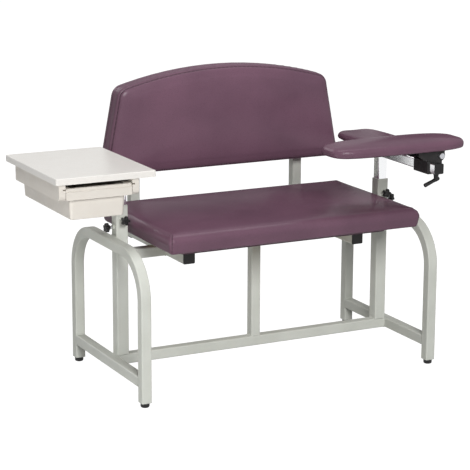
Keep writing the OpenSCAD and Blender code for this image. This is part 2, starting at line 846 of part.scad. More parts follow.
// Places what it draws at each screw through a drawer runner
module at_runner_screws() {
    for (side = [-1, 1], s = runner_screw_shares) {
        translate([drawer_x + side * (runner_span / 2 + runner_w * runner_screw_share),
            s * runner_l - runner_front, runner_z]) children();
    }
}

module tray_plate() placed() color(bright_steel) at_left_post() difference() {
    translate([0, 0, tray_z - plate_t]) linear_extrude(height = plate_t) {
        tube_outline(plate_w, plate_l, tray_corner_r);
    }
    at_plate_screws() screw_hole(plate_t + overrun);
}

// Board with chamfered upper edges
module tray_top() placed() color(tray_laminate) at_left_post() difference() {
    translate([tray_mid_x, tray_mid_y, tray_z]) intersection() {
        linear_extrude(height = tray_t) tube_outline(tray_w, tray_d, tray_corner_r);
        rotate([90, 0, 0]) linear_extrude(height = tray_d, center = true) {
            chamfered_face(tray_w, tray_t, tray_chamfer);
        }
        rotate([90, 0, 90]) linear_extrude(height = tray_w, center = true) {
            chamfered_face(tray_d, tray_t, tray_chamfer);
        }
    }
    at_plate_screws() screw_hole(plate_t + tray_t * screw_bite_share + seat_gap);
    at_runner_screws() screw_hole(runner_h + tray_t * screw_bite_share + seat_gap);
}

// Face w wide and h high with its two upper corners cut by c
module chamfered_face(w, h, c) {
    polygon([[-w / 2, 0], [w / 2, 0], [w / 2, h - c], [w / 2 - c, h], [c - w / 2, h], [-w / 2, h - c]]);
}

// Runner to the left of x = 0, with its groove open to the front and to +X
module drawer_runner() {
    difference() {
        translate([-runner_w, -runner_front, 0]) rotate([90, 0, 90]) linear_extrude(height = runner_w) {
            translate([runner_nose_r, 0]) square([runner_l - runner_nose_r - rear_corner_r, runner_h]);
            translate([0, runner_nose_r]) square([runner_l, runner_h - runner_nose_r]);
            translate([runner_nose_r, runner_nose_r]) circle(r = runner_nose_r);
            translate([runner_l / 2, rear_corner_r]) square([runner_l / 2, runner_h - rear_corner_r]);
            translate([runner_l - rear_corner_r, rear_corner_r]) {
                circle(r = rear_corner_r, $fn = small_fn);
            }
        }
        translate([-groove_depth, -runner_front - overrun, rim_z - slide_gap - runner_z]) {
            cube([groove_depth + overrun, runner_l - runner_stop_t + overrun, rim_t + 2 * slide_gap]);
        }
    }
}

module left_runner() placed() color(drawer_plastic) at_left_post() difference() {
    translate([drawer_x - runner_span / 2, 0, runner_z]) drawer_runner();
    at_runner_screws() screw_hole(runner_h + overrun);
}

module right_runner() placed() color(drawer_plastic) at_left_post() difference() {
    translate([drawer_x + runner_span / 2, 0, runner_z]) on_left() drawer_runner();
    at_runner_screws() screw_hole(runner_h + overrun);
}

module tray_screws() placed() color(bright_steel) at_left_post() {
    at_plate_screws() pan_screw(plate_t + tray_t * screw_bite_share);
    at_runner_screws() pan_screw(runner_h + tray_t * screw_bite_share);
}

// Ring around the bin at height z, drawn in by d from its outer face
function bin_ring(z, d) = let (s = (drawer_top_z - z) / bin_h)
    lifted(round_rect(bin_w - 2 * s * bin_side_draft, bin_l - 2 * s * bin_end_draft, bin_corner_r, d), z);

// Tub with a lip, a front band and two side strips that run in the grooves
module drawer_bin() placed() color(drawer_plastic) at_left_post() {
    low = drawer_top_z - bin_h;
    bin_y = band_t + bin_l / 2 - runner_front - bin_wall / 2;
    strip_x = runner_span / 2 + groove_depth - 2 * slide_gap;
    strip_l = runner_l - runner_stop_t - band_t - slide_gap;
    strip_w = strip_x - bin_w / 2 + bin_wall / 2;
    strip_y = band_t - runner_front + strip_l / 2;
    translate([drawer_x, 0, 0]) {
        translate([0, bin_y, 0]) loft(concat(
            [for (a = [0, 45, 90]) bin_ring(low + bin_edge_r * (1 - cos(a)), bin_edge_r * (1 - sin(a)))],
            [bin_ring(rim_z, 0), bin_ring(rim_z, -lip_w), bin_ring(drawer_top_z, -lip_w),
                bin_ring(drawer_top_z, bin_wall)],
            [for (a = [90, 45, 0]) bin_ring(low + bin_wall + bin_edge_r * (1 - cos(a)),
                bin_wall + bin_edge_r * (1 - sin(a)))]));
        for (side = [-1, 1]) {
            translate([side * (strip_x - strip_w / 2), strip_y, rim_z + rim_t / 2]) {
                cube([strip_w, strip_l, rim_t], center = true);
            }
        }
        translate([0, band_t - runner_front, drawer_top_z - band_h / 2]) rotate([90, 0, 0]) {
            linear_extrude(height = band_t) tube_outline(band_w, band_h, band_h * band_corner_share);
        }
    }
}

// Arm

module right_post() placed() color(bright_steel) {
    translate([post_x, 0, post_bottom_z]) frame_tube(arm_bar_z - post_bottom_z);
}

// Places what it draws at each screw up through the arm bar
module at_elbow_screws() {
    for (y = [elbow_mid_y - elbow_screw_in, elbow_mid_y + elbow_screw_in]) {
        translate([post_x, y, arm_bar_z]) children();
    }
}

module arm_bar() placed() color(bright_steel) difference() {
    translate([post_x, arm_bar_front_y, arm_z]) frame_tube_y(arm_bar_rear_y - arm_bar_front_y);
    at_elbow_screws() screw_hole(tube_w + overrun);
}

module arm_bar_plugs() placed() color(black_plastic) translate([post_x, 0, arm_z]) {
    translate([0, -arm_front, 0]) rotate([90, 0, 0]) end_plug(tube_w, tube_w, tube_wall);
    translate([0, arm_rear, 0]) rotate([-90, 0, 0]) end_plug(tube_w, tube_w, tube_wall);
}

// Board inside an arm pad, from z = 0 up
module pad_board(l, w, power) {
    linear_extrude(height = pad_board_t) polygon(squared_oval(l, w, power, pad_wrap + soft_gap));
}

// Arm pad over its board; its underside is at z = low and the board's at z = 0
module arm_pad(l, w, t, power, edge_r, low) {
    pocket = squared_oval(l, w, power, pad_wrap);
    rim_h = t - pad_crown;
    side = cushion_side(rim_h - low, pad_low_r, edge_r, pad_tuck, pad_waist, 0);
    loft(concat([lifted(pocket, pad_board_t + soft_gap), lifted(pocket, low)],
        [for (p = side) lifted(squared_oval(l, w, power, p[0]), p[1] + low)],
        [for (s = crown_shares)
            shrunk(squared_oval(l, w, power, edge_r), [0, 0], s, rim_h + pad_crown * (1 - s * s))]));
}

module elbow_board() placed() color(board_ply) difference() {
    translate([post_x, elbow_mid_y, arm_bar_top_z]) rotate([0, 0, 90]) {
        pad_board(elbow_l, elbow_w, elbow_power);
    }
    at_elbow_screws() screw_hole(tube_w + pad_board_t * screw_bite_share + seat_gap);
}

module elbow_pad() placed() color(plum_vinyl) translate([post_x, elbow_mid_y, arm_bar_top_z]) {
    rotate([0, 0, 90]) arm_pad(elbow_l, elbow_w, elbow_t, elbow_power, elbow_edge_r, soft_gap);
}

module elbow_screws() placed() color(bright_steel) {
    at_elbow_screws() pan_screw(tube_w + pad_board_t * screw_bite_share);
}

// Clamp and hinge

// Draws an outline given in X and Z as a bar of length l along Y, centred on the clamp block
module across_block(l) {
    translate([0, -flip_y + l / 2, 0]) rotate([90, 0, 0]) linear_extrude(height = l) children();
}

// Block that grips the arm bar, with the tongue that carries the hinge pin
module clamp_block() placed() color(black_plastic) difference() {
    across_block(block_l) difference() {
        union() {
            translate([(block_x0 + block_x1) / 2, (block_z0 + block_z1) / 2]) {
                tube_outline(block_x1 - block_x0, block_z1 - block_z0, block_corner_r);
            }
            translate([pin_x - tongue_l, arm_z]) square([tongue_l, pin_z + tongue_r - arm_z]);
            translate([pin_x - overrun, arm_z]) square([block_x1 - pin_x + overrun, pin_z - arm_z]);
            translate([pin_x, pin_z]) circle(r = tongue_r);
        }
        translate([post_x, arm_z]) tube_outline(block_hole_w, block_hole_w, tube_corner_r);
        translate([post_x, arm_z - slit_h / 2]) square([block_x1 + overrun - post_x, slit_h]);
    }
    translate([pin_x, -flip_y, pin_z]) rotate([90, 0, 0]) {
        cylinder(r = pin_r + run_gap, h = block_l + 2 * overrun, center = true);
    }
    translate([screw_x, screw_y, block_z0 - overrun]) {
        cylinder(r = clamp_screw_r + run_gap, h = clamp_screw_top_z + slide_gap - block_z0 + overrun);
    }
}

// Places what it draws with +Z along the hinge pin, from the bracket's front face forward
module at_pin_front() {
    translate([pin_x, -flip_y - bracket_w / 2, pin_z]) rotate([90, 0, 0]) children();
}

// Places what it draws with +Z along the hinge pin, from the bracket's rear face back
module at_pin_rear() {
    translate([pin_x, -flip_y + bracket_w / 2, pin_z]) rotate([-90, 0, 0]) children();
}

// Hinge pin with its hexagon head at the front
module hinge_bolt() placed() color(bright_steel) at_pin_front() {
    translate([0, 0, slide_gap]) intersection() {
        cylinder(r = bolt_af / sqrt(3), h = bolt_head_t, $fn = 6);
        cylinder(r1 = bolt_af / sqrt(3) + bolt_head_t, r2 = bolt_af / 2, h = bolt_head_t);
    }
    translate([0, 0, -bracket_w - slide_gap - bolt_nut_t]) {
        cylinder(r = pin_r, h = bracket_w + 2 * slide_gap + bolt_nut_t + overrun);
    }
}

// Lock nut on the hinge pin, with its round collar
module hinge_nut() placed() color(bright_steel) at_pin_rear() difference() {
    translate([0, 0, slide_gap]) {
        cylinder(r = bolt_af / sqrt(3), h = bolt_nut_t * nut_share, $fn = 6);
        cylinder(r = bolt_af / 2 - nut_collar_inset, h = bolt_nut_t);
    }
    cylinder(r = pin_r + seat_gap, h = bolt_nut_t + slide_gap + overrun);
}

// Side view of the hinge bracket's ears, in X and Z about the pin
module ear_side() {
    circle(r = ear_r);
    square([ear_r, bracket_rise + bracket_t]);
    polygon([[-bracket_reach, bracket_rise + bracket_t], [-bracket_reach, ear_low_share * ear_r],
        [-bracket_reach * ear_taper_share, -ear_r], [0, -ear_r], [0, bracket_rise + bracket_t]]);
}

// Places what it draws at each flat-headed screw through the bracket's web
module at_flip_screws() {
    for (s = flip_screw_shares, side = [-1, 1]) {
        translate([pin_x - s * bracket_reach, -flip_y + side * bracket_w * flip_screw_side_share,
            bracket_z]) children();
    }
}

// Flat-headed screw along +Z with its head's face at z = 0, made larger by g for its hole
module flat_screw(l, g) {
    translate([0, 0, -g]) cylinder(r1 = screw_r * head_share + g, r2 = screw_r + g, h = bracket_t);
    cylinder(r = screw_r + g, h = l + g, $fn = small_fn);
}

// Channel of folded sheet over the tongue, hinged at its ears
module hinge_bracket() placed() color(bright_steel) difference() {
    translate([pin_x, -flip_y, pin_z]) intersection() {
        rotate([90, 0, 90]) linear_extrude(height = 2 * bracket_reach + 2 * ear_r, center = true) {
            difference() {
                translate([0, bracket_t + bracket_rise - bracket_tall / 2]) {
                    tube_outline(bracket_w, bracket_tall, fold_r + bracket_t);
                }
                translate([0, bracket_rise - bracket_tall / 2]) {
                    tube_outline(bracket_w - 2 * bracket_t, bracket_tall, fold_r);
                }
            }
        }
        rotate([90, 0, 0]) linear_extrude(height = bracket_w + 2 * overrun, center = true) ear_side();
    }
    translate([pin_x, -flip_y, pin_z]) rotate([90, 0, 0]) {
        cylinder(r = pin_r + run_gap, h = bracket_w + 2 * overrun, center = true);
    }
    at_flip_screws() flat_screw(bracket_t + overrun, seat_gap);
}

module flip_board() placed() color(board_ply) difference() {
    translate([flip_x, -flip_y, flip_z]) pad_board(flip_l, flip_w, flip_power);
    at_flip_screws() flat_screw(bracket_t + pad_board_t * screw_bite_share, seat_gap);
}

module flip_pad() placed() color(plum_vinyl) translate([flip_x, -flip_y, flip_z]) {
    arm_pad(flip_l, flip_w, flip_t, flip_power, flip_edge_r, 0);
}

module flip_screws() placed() color(bright_steel) {
    at_flip_screws() flat_screw(bracket_t + pad_board_t * screw_bite_share, 0);
}

// Hub under the clamp block and the grip that reaches inward from it
module clamp_lever() placed() color(black_plastic) {
    top_z = block_z0 - slide_gap;
    translate([screw_x, screw_y, top_z - lever_hub_h]) difference() {
        union() {
            cylinder(r1 = lever_tip_r, r2 = lever_hub_r, h = lever_hub_h, $fn = small_fn);
            hull() {
                translate([0, 0, lever_tip_r]) sphere(r = lever_tip_r, $fn = 20);
                translate([lever_tip_r - lever_l, 0, lever_tip_r - lever_drop]) {
                    sphere(r = lever_tip_r, $fn = 20);
                }
            }
        }
        translate([0, 0, lever_hub_h - lever_hub_h * hub_bite_share - seat_gap]) {
            cylinder(r = clamp_screw_r + seat_gap, h = lever_hub_h);
        }
    }
}

module clamp_screw() placed() color(bright_steel) {
    low = block_z0 - slide_gap - lever_hub_h * hub_bite_share;
    translate([screw_x, screw_y, low]) cylinder(r = clamp_screw_r, h = clamp_screw_top_z - low);
}

left_leg_hoop();
right_leg_hoop();
left_side_rail();
right_side_rail();
long_rail();
center_post();
left_sleeve();
right_sleeve();
left_cross_tube();
center_cross_tube();
right_cross_tube();
left_seat_rail();
right_seat_rail();
left_back_post();
right_back_post();
floor_feet();
seat_rail_plugs();
back_post_plugs();
weld_nuts();
seat_board();
seat_cushion();
seat_screws();
back_board();
back_cushion();
back_screws();
left_post();
tray_plate();
tray_top();
left_runner();
right_runner();
tray_screws();
drawer_bin();
right_post();
arm_bar();
arm_bar_plugs();
elbow_board();
elbow_pad();
elbow_screws();
clamp_block();
hinge_bolt();
hinge_nut();
hinge_bracket();
flip_board();
flip_pad();
flip_screws();
clamp_lever();
clamp_screw();
left_front_knob();
left_front_stud();
left_side_knob();
left_side_stud();
right_front_knob();
right_front_stud();
right_side_knob();
right_side_stud();
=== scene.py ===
"""Looks of a wide phlebotomy chair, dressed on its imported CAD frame.

Lengths are in metres in the row frame: +Z up, the sitter faces -Y, and the padded arm is at +X.
"""

import json
import logging
import math
from abc import ABC, abstractmethod
from collections.abc import Callable, Sequence
from dataclasses import dataclass, field
from enum import Enum

import bmesh
import bpy
import numpy as np
from mathutils import Matrix, Vector
from mathutils.bvhtree import BVHTree
from mathutils.kdtree import KDTree


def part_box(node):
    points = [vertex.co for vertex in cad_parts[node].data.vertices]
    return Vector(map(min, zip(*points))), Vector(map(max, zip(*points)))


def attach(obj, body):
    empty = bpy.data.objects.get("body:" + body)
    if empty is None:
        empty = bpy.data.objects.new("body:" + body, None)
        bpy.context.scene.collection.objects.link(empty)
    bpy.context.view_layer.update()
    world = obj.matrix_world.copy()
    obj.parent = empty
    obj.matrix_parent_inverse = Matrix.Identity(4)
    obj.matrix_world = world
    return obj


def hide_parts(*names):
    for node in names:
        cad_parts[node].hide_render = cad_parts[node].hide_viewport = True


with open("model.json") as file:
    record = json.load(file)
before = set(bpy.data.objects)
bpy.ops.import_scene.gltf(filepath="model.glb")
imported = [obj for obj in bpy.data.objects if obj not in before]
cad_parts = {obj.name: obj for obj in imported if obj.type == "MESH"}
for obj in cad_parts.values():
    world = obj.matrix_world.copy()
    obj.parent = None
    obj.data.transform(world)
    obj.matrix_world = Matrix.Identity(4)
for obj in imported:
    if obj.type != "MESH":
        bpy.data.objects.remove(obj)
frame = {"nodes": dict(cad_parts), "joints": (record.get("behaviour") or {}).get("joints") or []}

LOG = logging.getLogger("phlebotomy_chair")
Colour = tuple[float, float, float, float]
Point = tuple[float, float, float]
Rings = Sequence[tuple[float, float]]
WHITE: Colour = (1.0, 1.0, 1.0, 1.0)
SHARP_DEGREES = 35.0
FLAT_DEGREES = 0.5
FACING = 0.9
SKIM = 0.001
SAME_POINT = 1e-6
SAME_NODE_POINT = 2e-6


# Helpers


def srgb(red: float, green: float, blue: float) -> Colour:
    """Turns a colour as the eye reads it, 0 to 255, into the linear colour of a shader.

    Args:
        red: Red, 0 to 255.
        green: Green, 0 to 255.
        blue: Blue, 0 to 255.

    Returns:
        The linear colour with full alpha.
    """
    def line(value: float) -> float:
        """Linear value of one channel."""
        share = value / 255
        return share / 12.92 if share <= 0.04045 else ((share + 0.055) / 1.055) ** 2.4
    return (line(red), line(green), line(blue), 1.0)


class Side(Enum):
    """Side of the chair, as seen from the front."""

    LEFT = "left"
    RIGHT = "right"


class SleeveFace(Enum):
    """Face of a sleeve that a knob stands on."""

    FRONT = "front"
    SIDE = "side"


class Bench:
    """The modeller's bench: the operators that every piece is made with."""

    @staticmethod
    def clear() -> None:
        """Leaves edit mode and deselects every object."""
        if bpy.context.object is not None and bpy.context.object.mode != "OBJECT":
            bpy.ops.object.mode_set(mode="OBJECT")
        for shown in bpy.context.selected_objects:
            shown.select_set(False)

    @staticmethod
    def hold(piece: bpy.types.Object) -> bpy.types.Object:
        """Makes a piece the only selected and the active object.

        Args:
            piece: The piece.

        Returns:
            The piece.
        """
        Bench.clear()
        piece.select_set(True)
        bpy.context.view_layer.objects.active = piece
        return piece

    @staticmethod
    def named(name: str) -> bpy.types.Object:
        """Names the object that an operator just made.

        Args:
            name: Name of the piece.

        Returns:
            The named object.
        """
        piece = bpy.context.object
        piece.name = name
        piece.data.name = name
        return piece

    @staticmethod
    def block(name: str, low: Vector, high: Vector) -> bpy.types.Object:
        """Adds a block that fills a box.

        Args:
            name: Name of the piece.
            low: Lowest corner.
            high: Highest corner.

        Returns:
            The block, its place in its mesh.
        """
        Bench.clear()
        bpy.ops.mesh.primitive_cube_add(size=1.0, location=(low + high) / 2)
        piece = Bench.named(name)
        piece.scale = high - low
        return Bench.settle(piece)

    @staticmethod
    def settle(piece: bpy.types.Object) -> bpy.types.Object:
        """Puts a piece's place, turn and size into its mesh.

        Args:
            piece: The piece.

        Returns:
            The piece.
        """
        Bench.hold(piece)
        bpy.ops.object.transform_apply(location=True, rotation=True, scale=True)
        return piece

    @staticmethod
    def edit(piece: bpy.types.Object) -> None:
        """Enters edit mode with the whole piece selected.

        Args:
            piece: The piece.
        """
        Bench.hold(piece)
        bpy.ops.object.mode_set(mode="EDIT")
        bpy.ops.mesh.select_all(action="SELECT")

    @staticmethod
    def pick_faces(piece: bpy.types.Object, wanted: Callable[[bmesh.types.BMFace], bool]
                   ) -> list[Vector]:
        """Enters edit mode with only the wanted faces selected.

        Args:
            piece: Piece to edit.
            wanted: Says whether a face is picked.

        Returns:
            Middles of the picked faces.
        """
        Bench.edit(piece)
        bpy.ops.mesh.select_mode(type="FACE")
        bpy.ops.mesh.select_all(action="DESELECT")
        picked = [face for face in bmesh.from_edit_mesh(piece.data).faces if wanted(face)]
        for face in picked:
            face.select_set(True)
        bmesh.update_edit_mesh(piece.data)
        return [face.calc_center_median() for face in picked]

    @staticmethod
    def done(piece: bpy.types.Object) -> bpy.types.Object:
        """Leaves edit mode with doubles merged and the normals pointing outwards.

        Args:
            piece: The piece.

        Returns:
            The piece.
        """
        bpy.ops.mesh.select_all(action="SELECT")
        bpy.ops.mesh.remove_doubles(threshold=SAME_POINT)
        bpy.ops.mesh.normals_make_consistent(inside=False)
        bpy.ops.object.mode_set(mode="OBJECT")
        return piece

    @staticmethod
    def apply(piece: bpy.types.Object, kind: str, **values: object) -> bpy.types.Object:
        """Adds a modifier, sets it and applies it.

        Args:
            piece: Piece that takes the modifier.
            kind: Blender's name of the modifier's kind.
            values: The modifier's settings.

        Returns:
            The piece.
        """
        Bench.hold(piece)
        modifier = piece.modifiers.new(kind.title(), kind)
        for name, value in values.items():
            setattr(modifier, name, value)
        bpy.ops.object.modifier_apply(modifier=modifier.name)
        return piece

    @staticmethod
    def soften(piece: bpy.types.Object, width: float, segments: int) -> bpy.types.Object:
        """Rounds a piece's sharp edges and shades it smooth between them.

        Args:
            piece: Piece to finish.
            width: Width of the rounding.
            segments: Steps in the rounding.

        Returns:
            The piece.
        """
        Bench.apply(piece, "BEVEL", width=width, segments=segments, limit_method="ANGLE",
                    angle_limit=math.radians(SHARP_DEGREES), harden_normals=False,
                    use_clamp_overlap=True)
        return Bench.smooth(piece)

    @staticmethod
    def smooth(piece: bpy.types.Object, degrees: float = SHARP_DEGREES) -> bpy.types.Object:
        """Shades a piece smooth, but not over its sharp edges nor across its flat faces.

        Args:
            piece: Piece to shade.
            degrees: Edges sharper than this stay sharp.

        Returns:
            The piece.
        """
        Bench.hold(piece)
        bpy.ops.object.shade_smooth_by_angle(angle=math.radians(degrees))
        return Bench.apply(piece, "WEIGHTED_NORMAL", mode="FACE_AREA", weight=50,
                           keep_sharp=True)

    @staticmethod
    def shown(name: str, data: bpy.types.ID) -> bpy.types.Object:
        """Puts a mesh, curve, lamp or camera into the scene.

        Args:
            name: Name of its object.
            data: What the object holds.

        Returns:
            The object.
        """
        holder = bpy.data.objects.new(name, data)
        bpy.context.scene.collection.objects.link(holder)
        return holder

    @staticmethod
    def merged_copy(node: str, name: str) -> bpy.types.Object:
        """Copies a CAD node into a piece of its own, with its loose triangles merged.

        Args:
            node: Name of the CAD node.
            name: Name of the new piece.

        Returns:
            The copy.
        """
        mesh = frame["nodes"][node].data.copy()
        mesh.name = name
        mesh.materials.clear()
        piece = Bench.shown(name, mesh)
        Bench.hold(piece)
        if piece.data.has_custom_normals:
            bpy.ops.mesh.customdata_custom_splitnormals_clear()
        Bench.edit(piece)
        bpy.ops.mesh.remove_doubles(threshold=SAME_NODE_POINT)
        bpy.ops.mesh.dissolve_limited(angle_limit=math.radians(FLAT_DEGREES))
        bpy.ops.object.mode_set(mode="OBJECT")
        return piece

    @staticmethod
    def join(name: str, parts: Sequence[bpy.types.Object]) -> bpy.types.Object:
        """Joins parts into one piece.

        Args:
            name: Name of the piece.
            parts: The parts.

        Returns:
            The piece.
        """
        Bench.hold(parts[0])
        for part in parts:
            part.select_set(True)
        bpy.ops.object.join()
        return Bench.named(name)

    @staticmethod
    def from_arrays(name: str, points: np.ndarray, faces: list[list[int]]) -> bpy.types.Object:
        """Makes a piece of points and faces.

        Args:
            name: Name of the piece.
            points: Array of points.
            faces: Lists of point numbers.

        Returns:
            The piece.
        """
        mesh = bpy.data.meshes.new(name)
        mesh.from_pydata(points.tolist(), [], faces)
        return Bench.shown(name, mesh)

    @staticmethod
    def points_of(piece: bpy.types.Object) -> np.ndarray:
        """All points of a piece's mesh.

        Args:
            piece: The piece.

        Returns:
            The points, one row each.
        """
        points = np.zeros(len(piece.data.vertices) * 3, np.float64)
        piece.data.vertices.foreach_get("co", points)
        return points.reshape(-1, 3)

    @staticmethod
    def normals_of(piece: bpy.types.Object) -> np.ndarray:
        """The normal at each point of a piece's mesh.

        Args:
            piece: The piece.

        Returns:
            The normals, one row each.
        """
        normals = np.zeros(len(piece.data.vertices) * 3, np.float32)
        piece.data.vertex_normals.foreach_get("vector", normals)
        return normals.reshape(-1, 3).astype(float)

    @staticmethod
    def put_points(piece: bpy.types.Object, points: np.ndarray) -> None:
        """Writes the points of a piece's mesh."""
        piece.data.vertices.foreach_set("co", points.astype(np.float32).ravel())
        piece.data.update()

    @staticmethod
    def skin_of(piece: bpy.types.Object) -> BVHTree:
        """The surface of a piece, for finding its nearest point."""
        return BVHTree.FromPolygons([v.co for v in piece.data.vertices],
                                    [p.vertices[:] for p in piece.data.polygons])


def chair_middle() -> Vector:
    """Point on the floor in the middle between the two side frames.

    Returns:
        The point in the row frame.
    """
    left_low, left_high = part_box("left_leg_hoop")
    _, right_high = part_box("right_leg_hoop")
    return Vector(((left_low.x + right_high.x) / 2, (left_low.y + left_high.y) / 2, 0.0))


def joint_named(name: str) -> tuple[Vector, Vector]:
    """Where a joint of the frame stands.

    Args:
        name: Name of the joint.

    Returns:
        Its place and its axis.
    """
    joint = next(j for j in frame["joints"] if j["name"] == name)
    return Vector(joint["pos_m"]), Vector(joint["axis"])


def raised(flat: np.ndarray, height: float) -> np.ndarray:
    """Flat points, all given one height."""
    return np.column_stack([flat, np.full(len(flat), height)])


def walked(line: np.ndarray) -> np.ndarray:
    """Length along a line up to each of its points."""
    return np.concatenate([[0.0], np.cumsum(np.linalg.norm(np.diff(line, axis=0), axis=1))])


def on_line(line: np.ndarray, places: float | np.ndarray) -> np.ndarray:
    """Points of a line at given lengths along it."""
    return np.stack([np.interp(places, walked(line), axis) for axis in line.T], -1)


def paced(loop: np.ndarray, step: float) -> np.ndarray:
    """Points at even steps round a loop.

    Args:
        loop: The loop's points, the first not repeated.
        step: Length of a step.

    Returns:
        The points.
    """
    closed = np.vstack([loop, loop[:1]])
    return on_line(closed, np.arange(0.0, walked(closed)[-1], step))


# Finishes


class Shader:
    """A material's node tree, wired step by step."""

    BLEND_SHARE, BLEND_FIRST, BLEND_SECOND, BLEND_RESULT = 0, 6, 7, 2

    def __init__(self, name: str) -> None:
        """Starts a material with one Principled shader.

        Args:
            name: Name of the material.
        """
        self.material = bpy.data.materials.new(name)
        self.material.use_nodes = True
        self.tree = self.material.node_tree
        self.tree.nodes.clear()
        self.surface = self.tree.nodes.new("ShaderNodeBsdfPrincipled")
        output = self.tree.nodes.new("ShaderNodeOutputMaterial")
        self.link(self.surface.outputs["BSDF"], output.inputs["Surface"])
        self.place = self.tree.nodes.new("ShaderNodeTexCoord").outputs["Object"]

    def link(self, source: bpy.types.NodeSocket, target: bpy.types.NodeSocket) -> None:
        """Joins two sockets."""
        self.tree.links.new(source, target)

    def stretched(self, scale: Point) -> bpy.types.NodeSocket:
        """Object coordinates stretched along the axes.

        Args:
            scale: Factor along X, Y and Z.

        Returns:
            The stretched coordinates.
        """
        mapping = self.tree.nodes.new("ShaderNodeMapping")
        mapping.inputs["Scale"].default_value = scale
        self.link(self.place, mapping.inputs["Vector"])
        return mapping.outputs["Vector"]

    def noise(self, scale: float, detail: float = 3.0, roughness: float = 0.5,
              place: bpy.types.NodeSocket | None = None) -> bpy.types.NodeSocket:
        """A cloudy pattern.

        Args:
            scale: Clouds to a metre.
            detail: Octaves of finer clouds.
            roughness: Strength of the finer clouds.
            place: Coordinates, the object's own if None.

        Returns:
            The pattern's value.
        """
        node = self.tree.nodes.new("ShaderNodeTexNoise")
        node.inputs["Scale"].default_value = scale
        node.inputs["Detail"].default_value = detail
        node.inputs["Roughness"].default_value = roughness
        self.link(place or self.place, node.inputs["Vector"])
        return node.outputs["Fac"]

    def cells(self, scale: float, feature: str = "F1",
              place: bpy.types.NodeSocket | None = None) -> bpy.types.NodeSocket:
        """A pattern of cells.

        Args:
            scale: Cells to a metre.
            feature: Which distance in a cell is read.
            place: Coordinates, the object's own if None.

        Returns:
            The pattern's distance.
        """
        node = self.tree.nodes.new("ShaderNodeTexVoronoi")
        node.feature = feature
        node.inputs["Scale"].default_value = scale
        self.link(place or self.place, node.inputs["Vector"])
        return node.outputs["Distance"]

    def ramp(self, value: bpy.types.NodeSocket, stops: Sequence[tuple[float, Colour]]
             ) -> bpy.types.NodeSocket:
        """Colours a value.

        Args:
            value: Value to colour.
            stops: Places from 0 to 1 and their colours.

        Returns:
            The colour.
        """
        node = self.tree.nodes.new("ShaderNodeValToRGB")
        elements = node.color_ramp.elements
        while len(elements) < len(stops):
            elements.new(0.5)
        for element, (place, colour) in zip(elements, stops):
            element.position = place
            element.color = colour
        self.link(value, node.inputs["Fac"])
        return node.outputs["Color"]

    def span(self, value: bpy.types.NodeSocket, low: float, high: float,
             start: float = 0.3, end: float = 0.7) -> bpy.types.NodeSocket:
        """Maps a value's middle part to a span.

        Args:
            value: Value to map.
            low: What the start becomes.
            high: What the end becomes.
            start: Start of the part that is mapped.
            end: End of the part that is mapped.

        Returns:
            The mapped value.
        """
        node = self.tree.nodes.new("ShaderNodeMapRange")
        for name, number in (("From Min", start), ("From Max", end), ("To Min", low),
                             ("To Max", high)):
            node.inputs[name].default_value = number
        self.link(value, node.inputs["Value"])
        return node.outputs["Result"]

    def sum(self, first: bpy.types.NodeSocket, second: bpy.types.NodeSocket,
            share: float) -> bpy.types.NodeSocket:
        """Adds a share of a second value to a first.

        Args:
            first: First value.
            second: Second value.
            share: Share of the second value.

        Returns:
            The sum.
        """
        node = self.tree.nodes.new("ShaderNodeMath")
        node.operation = "MULTIPLY_ADD"
        node.inputs[1].default_value = share
        self.link(second, node.inputs[0])
        self.link(first, node.inputs[2])
        return node.outputs["Value"]

    def bump(self, height: bpy.types.NodeSocket, depth: float, strength: float = 1.0) -> None:
        """Gives the surface relief.

        Args:
            height: Height pattern.
            depth: Depth of the relief in metres.
            strength: Strength of the relief.
        """
        node = self.tree.nodes.new("ShaderNodeBump")
        node.inputs["Distance"].default_value = depth
        node.inputs["Strength"].default_value = strength
        self.link(height, node.inputs["Height"])
        self.link(node.outputs["Normal"], self.surface.inputs["Normal"])

    def blend(self, share: bpy.types.NodeSocket, first: bpy.types.NodeSocket, second: Colour
              ) -> bpy.types.NodeSocket:
        """Blends a coloured pattern with a plain colour.

        Args:
            share: Share of the plain colour.
            first: The coloured pattern.
            second: The plain colour.

        Returns:
            The blended colour.
        """
        node = self.tree.nodes.new("ShaderNodeMix")
        node.data_type = "RGBA"
        node.inputs[self.BLEND_SECOND].default_value = second
        self.link(first, node.inputs[self.BLEND_FIRST])
        self.link(share, node.inputs[self.BLEND_SHARE])
        return node.outputs[self.BLEND_RESULT]

    def set(self, **values: object) -> None:
        """Sets the Principled shader's own sockets, with _ for a blank in a name."""
        for name, value in values.items():
            self.surface.inputs[name.replace("_", " ")].default_value = value

    def feed(self, name: str, value: bpy.types.NodeSocket) -> None:
        """Links a pattern to one of the Principled shader's sockets."""
        self.link(value, self.surface.inputs[name])

    def colour(self, pattern: bpy.types.NodeSocket, shade: Colour, tone: Colour,
               low: float = 0.35, high: float = 0.65) -> None:
        """Colours the surface from a shade to a tone by a pattern.

        Args:
            pattern: The pattern.
            shade: Colour where the pattern is low.
            tone: Colour where it is high.
            low: Value up to which the shade is pure.
            high: Value from which the tone is pure.
        """
        self.feed("Base Color", self.ramp(pattern, ((low, shade), (high, tone))))

    def gloss(self, pattern: bpy.types.NodeSocket, least: float, most: float) -> None:
        """Varies the roughness between two values by a pattern."""
        self.feed("Roughness", self.span(pattern, least, most))


